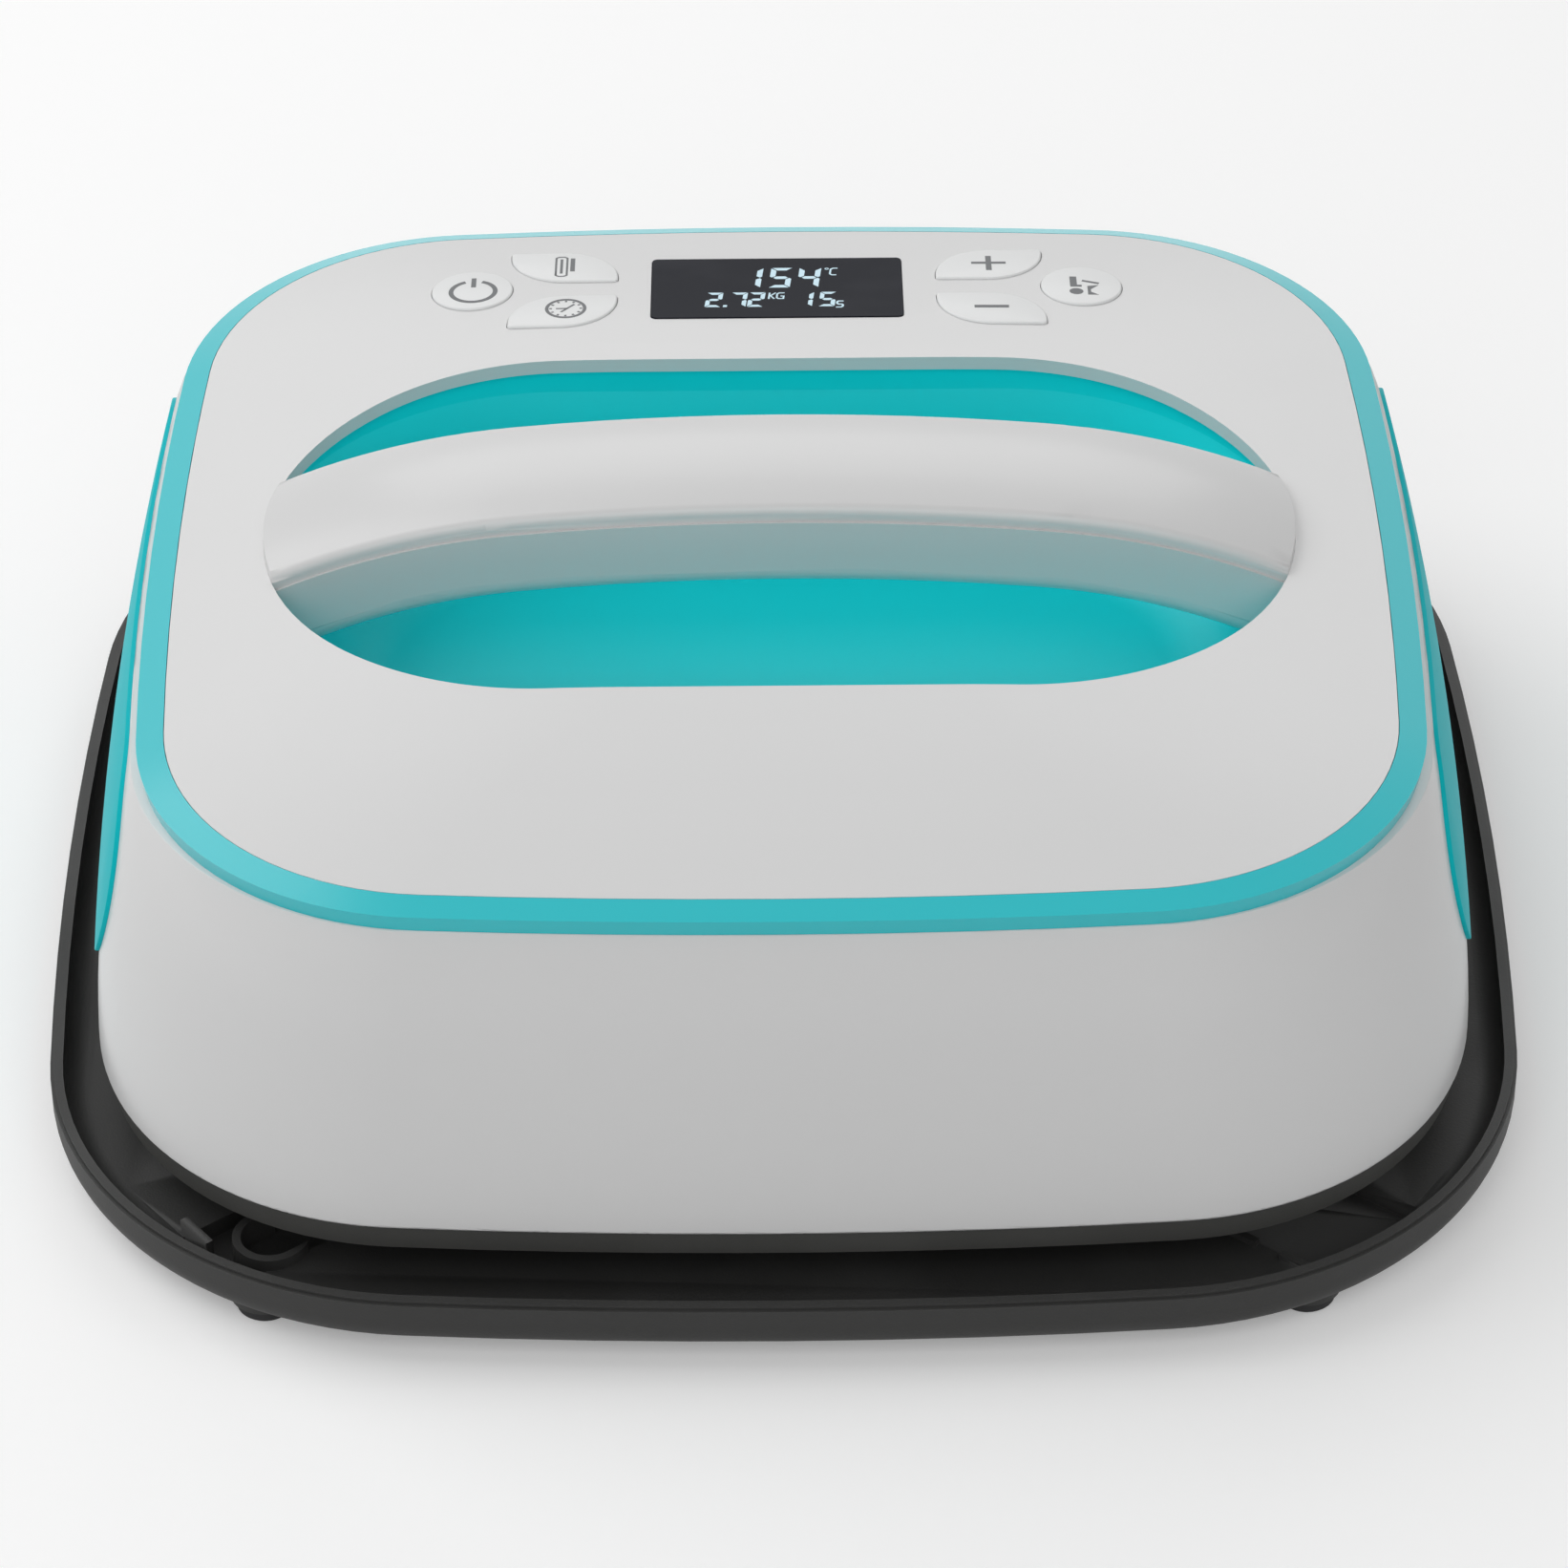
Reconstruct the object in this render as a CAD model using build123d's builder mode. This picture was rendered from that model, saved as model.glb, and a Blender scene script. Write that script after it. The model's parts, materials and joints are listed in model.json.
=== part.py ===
"""Mini handheld heat press on its rest tray.

Millimetres, +Z up, front towards -Y.  The origin is on the surface that the
feet stand on, under the middle of the tray.
"""

import os
from math import asin, atan, atan2, cos, degrees, hypot, radians, sin, sqrt

from build123d import *

os.makedirs("parts", exist_ok=True)

# ---------------------------------------------------------------------------
# Driving dimensions
# ---------------------------------------------------------------------------

# Outlines: half width (X), half depth (Y) and corner radius of the cover, and how
# much the shell and the tray grow beyond it.  The four sides bow gently outwards.
BOW_RADIUS = 1080.0
COVER_HALF_X = 122.5
COVER_HALF_Y = 118.5
COVER_CORNER = 55.5
SHELL_FLARE_X = 17.5
SHELL_FLARE_Y = 17.1
SHELL_FLARE_CORNER = 10.3
TRAY_REACH = 28.3
TRAY_REACH_CORNER = 24.0

# Heights, stacked from the table upwards
FOOT_PROTRUSION = 3.5
TRAY_HEIGHT = 12.3
SKIRT_ABOVE_RIM = 3.2
SKIRT_BAND = 5.4
SHELL_HEIGHT = 65.2
RING_SIDE = 2.6
RING_SLOPE = 1.8
CROWN_HEIGHT = 7.8

# Walls
COVER_WALL = 3.0
SHELL_WALL = 2.6
BOWL_WALL = 2.4
TRAY_WALL = 2.6
FRAME_THICKNESS = 3.0

# Clearances
SEAM_GAP = 0.15
KEY_GAP = 0.3
SEAT_GAP = 0.3
SCREW_CLEARANCE = 0.25
FIT_GAP = 0.05

# Trim ring
RING_WIDTH = 4.8
RING_LEDGE = 6.0

# Shell
SHELL_LIP = 2.0
SHELL_FLARE_POWER = 1.8
SHELL_LEVELS = 6
SHELL_FLANGE = 8.0
SHELL_FLANGE_THICKNESS = 2.5
SHELL_EDGE_ROUND = 1.6

# Side inlays
ACCENT_HALF_LENGTH = 80.0
ACCENT_HEIGHT = 49.0
ACCENT_BELOW_RING = 1.2
ACCENT_PROUD = 0.9
ACCENT_DEPTH = 1.2

# Opening in the cover, and the finger bowl under it
OPENING_TO_SIDE = 17.5
OPENING_TO_REAR = 59.9
BOWL_DEPTH = 35.0
BOWL_SLOPE_IN = 14.0
BOWL_FLOOR_ROUND = 17.0
BOWL_EDGE_STEP = 1.2

# Handle
HANDLE_WIDTH = 34.8
HANDLE_HEIGHT = 19.5
HANDLE_RISE = 19.5
HANDLE_CROWN = 2.0
HANDLE_MIDDLE_RADIUS = 560.0
HANDLE_MIDDLE_HALF = 54.0
HANDLE_END_RADIUS = 150.0
HANDLE_END_ANGLE = 33.0
HANDLE_HOLLOW_ANGLE = 21.0
HANDLE_CAP = 3.2
HANDLE_WALL = 2.6
HANDLE_TOP_ROUND = 2.2
HANDLE_BOTTOM_ROUND = 5.0
TONGUE_WIDTH = 20.0
TONGUE_HEIGHT = 7.0
TONGUE_DROP = 8.0
TONGUE_REACH = 13.0
TONGUE_INSIDE = 8.0

# Control panel on the rear slope of the cover
PANEL_TO_REAR = 28.1
ROUND_KEY_X = 65.7
ROUND_KEY_DIAMETER = 17.2
LEAF_KEY_X = 46.0
LEAF_KEY_SPREAD = 10.45
LEAF_KEY_WIDTH = 23.0
LEAF_KEY_DEPTH = 13.8
LEAF_ROUND = 12.0
LEAF_POINT = 0.8
KEY_PROUD = 0.5
KEY_TRAVEL = 0.6
KEY_FLANGE = 1.0
KEY_FLANGE_THICKNESS = 1.2
KEY_PIN_RADIUS = 1.5
KEY_PIN = 0.6
KEY_SAG = 0.8
WINDOW_WIDTH = 54.0
WINDOW_DEPTH = 28.0
WINDOW_CORNER = 1.2
WINDOW_THICKNESS = 2.2
WINDOW_RIM = 1.4
WINDOW_RIM_THICKNESS = 1.0
WINDOW_PROUD = 0.1
DISPLAY_INSET = 2.0
BOARD_THICKNESS = 1.6
CONTROL_BOARD_WIDTH = 156.0
CONTROL_BOARD_DEPTH = 42.0
SWITCH_SIZE = 6.0
SWITCH_BODY = 3.5
SWITCH_HEIGHT = 5.0
SWITCH_STEM_RADIUS = 1.7
SWITCH_FREE_PLAY = 0.1
BUZZER_RADIUS = 4.5
BUZZER_HEIGHT = 4.5
BUZZER_X = 63.5
BUZZER_V = -15.5
PANEL_BOSS_X = 73.5
PANEL_BOSS_V = 13.5
PANEL_BOSS_RADIUS = 3.2

# Heater stack
PLATE_TO_COVER = 4.0
PLATE_CORNER = 22.0
PLATE_THICKNESS = 8.0
PLATE_PROUD = 2.0
PLATE_MARGIN = 2.0
PLATE_EDGE_ROUND = 1.5
ELEMENT_RADIUS = 3.25
ELEMENT_TO_EDGE = 20.5
ELEMENT_BEND = 22.0
ELEMENT_TAIL_X = 12.0
ELEMENT_TAIL_Y = 46.0
ELEMENT_TAIL_BEND = 9.0
ELEMENT_TAIL_HEIGHT = 20.0
ELEMENT_PIN_RADIUS = 1.3
ELEMENT_PIN = 6.0
CLAMP_THICKNESS = 1.2
CLAMP_INSET = 4.0
INSULATION_THICKNESS = 8.0
SHIELD_THICKNESS = 0.8
SHIELD_SKIRT = 8.0
TAIL_SLOT_WIDTH = 9.0
TAIL_SLOT_LENGTH = 24.0
SENSOR_RADIUS = 2.0
SENSOR_HEIGHT = 7.0
SENSOR_Y = -20.0
CUTOFF_RADIUS = 5.0
CUTOFF_HEIGHT = 5.0
CUTOFF_Y = 20.0
PLATE_BOLT_TO_EDGE = 54.5
PLATE_BOLT_RADIUS = 2.0
PLATE_BOLT_HEAD_RADIUS = 3.8
PLATE_BOLT_HEAD = 2.4
PLATE_BOLT_DEPTH = 5.0

# Load cells between the heater stack and the frame
CELL_TO_EDGE = 38.5
CELL_SIZE = 34.0
CELL_THICKNESS = 3.0
CELL_SLOT = 3.0
CELL_BEAM = 14.0
CELL_FOOT_RADIUS = 5.0
CELL_FOOT = 6.4
CELL_SCREW_RADIUS = 1.9
CELL_SCREW_HEAD_RADIUS = 3.4
CELL_SCREW_HEAD = 2.2
CELL_ACCESS_RADIUS = 5.0

# Frame, posts and screws
FRAME_TO_SHELL = 2.6
FRAME_WINDOW_WIDTH = 60.0
FRAME_WINDOW_DEPTH = 34.0
FRAME_WINDOW_Y = 50.0
SIDE_POST_OUT = 0.3
SIDE_POST_SPREAD = 45.0
END_POST_OUT = 1.8
END_POST_SPREAD = 45.0
POST_RADIUS = 4.4
COVER_POST_TO_SIDE = 24.5
COVER_POST_TO_END = 32.5
HANDLE_POST_SPREAD = 5.2
HANDLE_POST_RADIUS = 4.4
SCREW_RADIUS = 1.75
SCREW_HEAD_RADIUS = 3.2
SCREW_HEAD = 2.4
SCREW_GRIP = 12.0

# Skirt
SKIRT_INSET = 1.6
SKIRT_WALL = 2.4
SKIRT_SPIGOT = 5.0
SKIRT_POST_RADIUS = 4.6

# Power board in the front of the housing
POWER_BOARD_WIDTH = 116.0
POWER_BOARD_DEPTH = 44.0
POWER_BOARD_TO_FRONT = 28.5
STANDOFF_HEIGHT = 6.0
STANDOFF_RADIUS = 3.2
BOARD_SCREW_INSET = 4.5
BOARD_SCREW_RADIUS = 1.4
BOARD_SCREW_HEAD_RADIUS = 2.6
BOARD_SCREW_HEAD = 1.8
BOARD_SCREW_GRIP = 4.5
TRANSFORMER_SIZE = (32.0, 27.0, 24.0)
TRANSFORMER_LIP = 4.0
TRANSFORMER_X = -34.0
RELAY_SIZE = (15.5, 19.0, 15.0)
RELAY_X = 2.0
CAPACITOR_RADIUS = 6.3
CAPACITOR_HEIGHT = 20.0
CAPACITOR_X = 20.0
TERMINAL_SIZE = (22.0, 10.0, 12.0)
TERMINAL_X = 40.0
TERMINAL_POLES = 4
FUSE_RADIUS = 2.6
FUSE_LENGTH = 20.0
FUSE_X = 4.0
FUSE_TO_BOARD = 15.0
FUSE_CAP = 5.0

# Cord entry in the rear wall
GLAND_BELOW_EDGE = 24.0
GLAND_BORE_RADIUS = 3.8
GLAND_BODY_RADIUS = 7.2
GLAND_FLANGE_RADIUS = 10.0
GLAND_FLANGE = 3.2
GLAND_SEAT_DEPTH = 1.6
GLAND_LENGTH = 22.0
GLAND_BOSS = 3.0
GLAND_NUT_RADIUS = 10.0
GLAND_NUT = 4.0

# Tray
TRAY_BOTTOM_ROUND = 7.3
TRAY_FLOOR = 2.0
TRAY_CHANNEL_DEPTH = 6.3
TRAY_CHANNEL_ROUND = 5.0
RIM_STEP = 0.7
PLATFORM_MARGIN = 1.5
PLATFORM_CORNER = 40.0
PLATFORM_WALL = 2.6
PLATFORM_RIB = 2.0
PLATFORM_CELLS = 6
MAT_THICKNESS = 2.8
MAT_GAP = 0.2
MAT_INSET = 2.0
POCKET_ANGLE = 38.0
POCKET_LENGTH = 46.0
POCKET_TO_RIM = 7.0
LEFT_POCKET_IN_X = 43.8
LEFT_POCKET_IN_Y = 26.8
LEFT_POCKET_WIDTH = 18.6
RIGHT_POCKET_IN_X = 38.8
RIGHT_POCKET_IN_Y = 27.8
RIGHT_POCKET_WIDTH = 27.6
CORNER_POST_IN_X = 10.5
CORNER_POST_IN_Y = 13.5
CORNER_POST_RADIUS = 4.6
LIP_INNER_X = 16.7
LIP_OUTER_X = 4.6
LIP_LENGTH = 6.5
LIP_WIDTH = 1.6
LIP_HEIGHT = 1.2
CUP_IN_X = 49.8
CUP_IN_Y = 27.0
CUP_RADIUS = 7.6
CUP_WALL = 1.7
CUP_HEIGHT = 6.6
TAB_IN_X = 35.3
TAB_IN_Y = 27.6
TAB_LENGTH = 9.0
TAB_THICKNESS = 1.7
TAB_HEIGHT = 7.6
FOOT_IN_X = 48.8
FOOT_IN_Y = 20.4
FOOT_RADIUS = 5.8
FOOT_EDGE = 0.8
FOOT_RECESS = 0.8
FOOT_COLLAR = 1.2

# ---------------------------------------------------------------------------
# Levels worked out from the heights
# ---------------------------------------------------------------------------

tray_z = FOOT_PROTRUSION
rim_z = tray_z + TRAY_HEIGHT
skirt_z = rim_z + SKIRT_ABOVE_RIM
shell_z = skirt_z + SKIRT_BAND
ring_z = shell_z + SHELL_HEIGHT
edge_z = ring_z + RING_SIDE + RING_SLOPE
plate_z = skirt_z - PLATE_PROUD
plate_top = plate_z + PLATE_THICKNESS
clamp_z = plate_top + ELEMENT_RADIUS + FIT_GAP
insulation_z = clamp_z + CLAMP_THICKNESS
shield_z = insulation_z + INSULATION_THICKNESS
cell_z = shield_z + SHIELD_THICKNESS + CELL_FOOT
frame_z = cell_z + CELL_THICKNESS
frame_top = frame_z + FRAME_THICKNESS
flange_z = ring_z - SHELL_FLANGE_THICKNESS
platform_z = plate_z - MAT_GAP - MAT_THICKNESS
bowl_floor_z = edge_z - BOWL_DEPTH
board_z = frame_top + STANDOFF_HEIGHT
tongue_z = edge_z - TONGUE_DROP - TONGUE_HEIGHT
key_flange_top = -COVER_WALL - KEY_SAG - SEAT_GAP
key_pin_end = key_flange_top - KEY_FLANGE_THICKNESS - KEY_PIN
panel_board_top = key_pin_end - KEY_TRAVEL - SWITCH_FREE_PLAY - SWITCH_HEIGHT
gland_z = edge_z - GLAND_BELOW_EDGE

# ---------------------------------------------------------------------------
# Outlines and places worked out from the cover's size
# ---------------------------------------------------------------------------

shell_top_half_x = COVER_HALF_X + RING_WIDTH + SHELL_LIP
shell_top_half_y = COVER_HALF_Y + RING_WIDTH + SHELL_LIP
shell_top_corner = COVER_CORNER + RING_WIDTH
shell_foot_half_x = COVER_HALF_X + SHELL_FLARE_X
shell_foot_half_y = COVER_HALF_Y + SHELL_FLARE_Y
shell_foot_corner = COVER_CORNER + SHELL_FLARE_CORNER
tray_half_x = COVER_HALF_X + TRAY_REACH
tray_half_y = COVER_HALF_Y + TRAY_REACH
tray_corner = COVER_CORNER + TRAY_REACH_CORNER
opening_length = 2 * (COVER_HALF_X - OPENING_TO_SIDE)
opening_depth = 2 * (COVER_HALF_Y - OPENING_TO_REAR)
handle_post_x = opening_length / 2 + TONGUE_REACH - HANDLE_POST_RADIUS - 1.0
side_post_x = COVER_HALF_X + SIDE_POST_OUT
end_post_y = COVER_HALF_Y + END_POST_OUT
cover_post_x = COVER_HALF_X - COVER_POST_TO_SIDE
cover_post_y = COVER_HALF_Y - COVER_POST_TO_END
power_board_y = POWER_BOARD_TO_FRONT - COVER_HALF_Y
fuse_y = power_board_y - FUSE_TO_BOARD
plate_half = min(COVER_HALF_X, COVER_HALF_Y) - PLATE_TO_COVER
element_half = plate_half - ELEMENT_TO_EDGE
cell_spacing = plate_half - CELL_TO_EDGE
plate_bolt_spacing = plate_half - PLATE_BOLT_TO_EDGE
platform_half = plate_half + PLATFORM_MARGIN
left_pocket_x = LEFT_POCKET_IN_X - tray_half_x
left_pocket_y = tray_half_y - LEFT_POCKET_IN_Y
right_pocket_x = tray_half_x - RIGHT_POCKET_IN_X
right_pocket_y = tray_half_y - RIGHT_POCKET_IN_Y
corner_post_x = platform_half - CORNER_POST_IN_X
corner_post_y = platform_half - CORNER_POST_IN_Y
cup_x = tray_half_x - CUP_IN_X
cup_y = tray_half_y - CUP_IN_Y
tab_x = TAB_IN_X - tray_half_x
tab_y = tray_half_y - TAB_IN_Y
foot_x = tray_half_x - FOOT_IN_X
foot_y = tray_half_y - FOOT_IN_Y

panel_y = COVER_HALF_Y - PANEL_TO_REAR
panel_tilt = atan(2 * CROWN_HEIGHT * panel_y / COVER_HALF_Y**2)
panel_z = edge_z + CROWN_HEIGHT * (1 - (panel_y / COVER_HALF_Y) ** 2)
panel = Plane(
    origin=(0, panel_y, panel_z),
    x_dir=(1, 0, 0),
    z_dir=(0, sin(panel_tilt), cos(panel_tilt)),
)
print(f"panel tilt {degrees(panel_tilt):.2f} degrees, centre height {panel_z:.2f}")


# ---------------------------------------------------------------------------
# Shared shapes
# ---------------------------------------------------------------------------


def outline(half_x, half_y, corner, bow=BOW_RADIUS, mode=Mode.ADD):
    """Draw a closed face of four bowed sides and four tangent corner arcs."""
    reach = bow - corner
    shift_x = bow - half_x
    shift_y = bow - half_y
    span = hypot(shift_x, shift_y)
    rise = sqrt(reach**2 - span**2 / 4)
    centre_x = rise * shift_y / span - shift_x / 2
    centre_y = rise * shift_x / span - shift_y / 2
    rear_x = bow * centre_x / reach
    rear_y = bow * (centre_y + shift_y) / reach - shift_y
    side_x = bow * (centre_x + shift_x) / reach - shift_x
    side_y = bow * centre_y / reach
    lean = atan2(rear_y - centre_y + side_y - centre_y, rear_x - centre_x + side_x - centre_x)
    mid_x = centre_x + corner * cos(lean)
    mid_y = centre_y + corner * sin(lean)
    with BuildLine() as loop:
        ThreePointArc((-rear_x, rear_y), (0, half_y), (rear_x, rear_y))
        ThreePointArc((rear_x, rear_y), (mid_x, mid_y), (side_x, side_y))
        ThreePointArc((side_x, side_y), (half_x, 0), (side_x, -side_y))
        ThreePointArc((side_x, -side_y), (mid_x, -mid_y), (rear_x, -rear_y))
        ThreePointArc((rear_x, -rear_y), (0, -half_y), (-rear_x, -rear_y))
        ThreePointArc((-rear_x, -rear_y), (-mid_x, -mid_y), (-side_x, -side_y))
        ThreePointArc((-side_x, -side_y), (-half_x, 0), (-side_x, side_y))
        ThreePointArc((-side_x, side_y), (-mid_x, mid_y), (-rear_x, rear_y))
    make_face(loop.edges(), mode=mode)


def cover_outline(grow):
    """Draw the cover's outline, grown outwards by a distance."""
    outline(COVER_HALF_X + grow, COVER_HALF_Y + grow, COVER_CORNER + grow, BOW_RADIUS + grow)


def tray_outline(grow, mode=Mode.ADD):
    """Draw the tray's outline, grown outwards by a distance."""
    outline(tray_half_x + grow, tray_half_y + grow, tray_corner + grow, BOW_RADIUS + grow, mode)


def flare_share(z):
    """Share of the shell's flare reached at a height, 0 at its top and 1 at its foot."""
    depth = min(max((ring_z - z) / SHELL_HEIGHT, 0), 1)
    return 1 - (1 - depth) ** SHELL_FLARE_POWER


def shell_half_x(z):
    """Half width of the shell's outer face at a height."""
    return shell_top_half_x + (shell_foot_half_x - shell_top_half_x) * flare_share(z)


def shell_half_y(z):
    """Half depth of the shell's outer face at a height."""
    return shell_top_half_y + (shell_foot_half_y - shell_top_half_y) * flare_share(z)


def shell_outline(z, grow):
    """Draw the shell's outline at a height, grown outwards by a distance."""
    corner = shell_top_corner + (shell_foot_corner - shell_top_corner) * flare_share(z)
    outline(shell_half_x(z) + grow, shell_half_y(z) + grow, corner + grow, BOW_RADIUS + grow)


def flared_block(grow, bottom, top):
    """Build the shell's flared solid between two heights, grown by a distance."""
    with BuildPart() as block:
        for level in range(SHELL_LEVELS):
            z = bottom + (top - bottom) * level / (SHELL_LEVELS - 1)
            with BuildSketch(Plane.XY.offset(z)):
                shell_outline(z, grow)
        loft()
    return block.part


def crown_block(inset, drop, base):
    """Build the cover's crowned solid: inset at its edge, lowered, and carried down to a base."""
    edge = edge_z - drop
    with BuildPart() as block:
        for share in (1.0, 0.86, 0.68, 0.48, 0.3):
            with BuildSketch(Plane.XY.offset(edge + CROWN_HEIGHT * (1 - share**2))):
                outline(
                    (COVER_HALF_X - inset) * share,
                    (COVER_HALF_Y - inset) * share,
                    (COVER_CORNER - inset) * share,
                    BOW_RADIUS * share,
                )
        loft()
        with BuildSketch(Plane.XY.offset(base)):
            outline(COVER_HALF_X - inset, COVER_HALF_Y - inset, COVER_CORNER - inset)
        extrude(amount=edge - base)
    return block.part


def bowl_block(grow, floor, top):
    """Build the finger bowl's solid: straight walls above the step, sloped below it."""
    step = edge_z - COVER_WALL
    with BuildPart() as block:
        with BuildSketch(Plane.XY.offset(floor)):
            SlotOverall(
                opening_length + 2 * (grow - BOWL_SLOPE_IN),
                opening_depth + 2 * (grow - BOWL_SLOPE_IN),
            )
        with BuildSketch(Plane.XY.offset(step)):
            SlotOverall(opening_length + 2 * grow, opening_depth + 2 * grow)
        loft(ruled=True)
        fillet(block.faces().sort_by(Axis.Z)[0].edges(), BOWL_FLOOR_ROUND)
        with BuildSketch(Plane.XY.offset(step)):
            SlotOverall(opening_length + 2 * grow, opening_depth + 2 * grow)
        extrude(amount=top - step)
    return block.part


def arch_band(end_angle, low, high, inset):
    """Build a band of the handle: its cross-section between two depths, swept along the arch."""
    crest = edge_z + HANDLE_RISE
    lean = asin(HANDLE_MIDDLE_HALF / HANDLE_MIDDLE_RADIUS)
    full = radians(end_angle)
    half = (lean + full) / 2
    side_z = crest - HANDLE_MIDDLE_RADIUS * (1 - cos(lean))
    pivot_x = HANDLE_MIDDLE_HALF - HANDLE_END_RADIUS * sin(lean)
    pivot_z = side_z - HANDLE_END_RADIUS * cos(lean)
    knee_x = pivot_x + HANDLE_END_RADIUS * sin(half)
    knee_z = pivot_z + HANDLE_END_RADIUS * cos(half)
    tip_x = pivot_x + HANDLE_END_RADIUS * sin(full)
    tip_z = pivot_z + HANDLE_END_RADIUS * cos(full)
    with BuildPart() as band:
        with BuildLine(Plane.XZ) as spine:
            ThreePointArc((-tip_x, tip_z), (-knee_x, knee_z), (-HANDLE_MIDDLE_HALF, side_z))
            ThreePointArc((-HANDLE_MIDDLE_HALF, side_z), (0, crest), (HANDLE_MIDDLE_HALF, side_z))
            ThreePointArc((HANDLE_MIDDLE_HALF, side_z), (knee_x, knee_z), (tip_x, tip_z))
        start = Plane(origin=(-tip_x, 0, tip_z), x_dir=(0, 1, 0), z_dir=(cos(full), 0, sin(full)))
        with BuildSketch(start):
            handle_section(low, high, inset)
        sweep(path=spine.wires()[0])
    return band.part


def handle_section(low, high, inset):
    """Draw a band of the handle's cross-section between two depths under its top edge."""
    half = HANDLE_WIDTH / 2
    with BuildLine() as loop:
        ThreePointArc((half, 0), (0, HANDLE_CROWN), (-half, 0))
        Polyline((-half, 0), (-half, -HANDLE_HEIGHT), (half, -HANDLE_HEIGHT), (half, 0))
    make_face(loop.edges())
    fillet(vertices().group_by(Axis.Y)[0], HANDLE_BOTTOM_ROUND)
    fillet(vertices().group_by(Axis.Y)[-1], HANDLE_TOP_ROUND)
    if inset:
        offset(amount=-inset, mode=Mode.REPLACE)
    with Locations((0, (high + low) / 2)):
        Rectangle(2 * HANDLE_WIDTH, high - low, mode=Mode.INTERSECT)


def key_outline(kind, grow):
    """Draw a key's outline: "round", or a leaf whose two points "rise" or "fall" to the right."""
    if kind == "round":
        Circle(ROUND_KEY_DIAMETER / 2 + grow)
        return
    half_x = LEAF_KEY_WIDTH / 2 + grow
    half_y = LEAF_KEY_DEPTH / 2 + grow
    point = LEAF_POINT + grow
    sweep_round = LEAF_ROUND + grow
    radii = (sweep_round, point, sweep_round, point)
    if kind == "rise":
        radii = (point, sweep_round, point, sweep_round)
    with BuildLine() as loop:
        FilletPolyline(
            (-half_x, -half_y),
            (half_x, -half_y),
            (half_x, half_y),
            (-half_x, half_y),
            radius=radii,
            close=True,
        )
    make_face(loop.edges())


def on_panel(x, v, height=0.0):
    """Plane parallel to the panel at a place on it, raised along its normal."""
    return Plane(
        origin=panel.from_local_coords((x, v, height)),
        x_dir=panel.x_dir,
        z_dir=panel.z_dir,
    )


def spread_circles(half_x, half_y, radius, mode=Mode.ADD):
    """Draw a circle at each corner of a centred rectangle."""
    with GridLocations(2 * half_x, 2 * half_y, 2, 2):
        Circle(radius, mode=mode)


def housing_circles(radius, mode=Mode.ADD):
    """Draw a circle at each of the eight housing posts."""
    spread_circles(side_post_x, SIDE_POST_SPREAD, radius, mode)
    spread_circles(END_POST_SPREAD, end_post_y, radius, mode)


def handle_post_circles(radius, mode=Mode.ADD):
    """Draw a circle at each of the four handle posts."""
    spread_circles(handle_post_x, HANDLE_POST_SPREAD, radius, mode)


def plate_outline(grow):
    """Draw the heat plate's outline, grown outwards by a distance."""
    side = 2 * (plate_half + grow)
    RectangleRounded(side, side, PLATE_CORNER + grow)


def element_tube(radius):
    """Build the heating element's solid: one loop round the plate with two rising tails."""
    low = plate_top
    high = plate_top + ELEMENT_TAIL_HEIGHT
    corners = (ELEMENT_TAIL_BEND, ELEMENT_TAIL_BEND, *[ELEMENT_BEND] * 4)
    with BuildPart() as tube:
        with BuildLine() as run:
            FilletPolyline(
                (-ELEMENT_TAIL_X, ELEMENT_TAIL_Y, high),
                (-ELEMENT_TAIL_X, ELEMENT_TAIL_Y, low),
                (-ELEMENT_TAIL_X, element_half, low),
                (-element_half, element_half, low),
                (-element_half, -element_half, low),
                (element_half, -element_half, low),
                (element_half, element_half, low),
                (ELEMENT_TAIL_X, element_half, low),
                (ELEMENT_TAIL_X, ELEMENT_TAIL_Y, low),
                (ELEMENT_TAIL_X, ELEMENT_TAIL_Y, high),
                radius=(*corners, *corners[1::-1]),
            )
        with BuildSketch(Plane(origin=(-ELEMENT_TAIL_X, ELEMENT_TAIL_Y, high), z_dir=(0, 0, -1))):
            Circle(radius)
        sweep(path=run.wires()[0])
    return tube.part


# ---------------------------------------------------------------------------
# Base: tray, feet and mat
# ---------------------------------------------------------------------------

pocket_z = tray_z + TRAY_FLOOR
channel_z = rim_z - TRAY_CHANNEL_DEPTH

with BuildPart() as tray_hollow:
    with BuildSketch(Plane.XY.offset(channel_z)):
        tray_outline(-TRAY_WALL)
    extrude(amount=2 * TRAY_CHANNEL_DEPTH)
    fillet(tray_hollow.faces().sort_by(Axis.Z)[0].edges(), TRAY_CHANNEL_ROUND)

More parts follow.
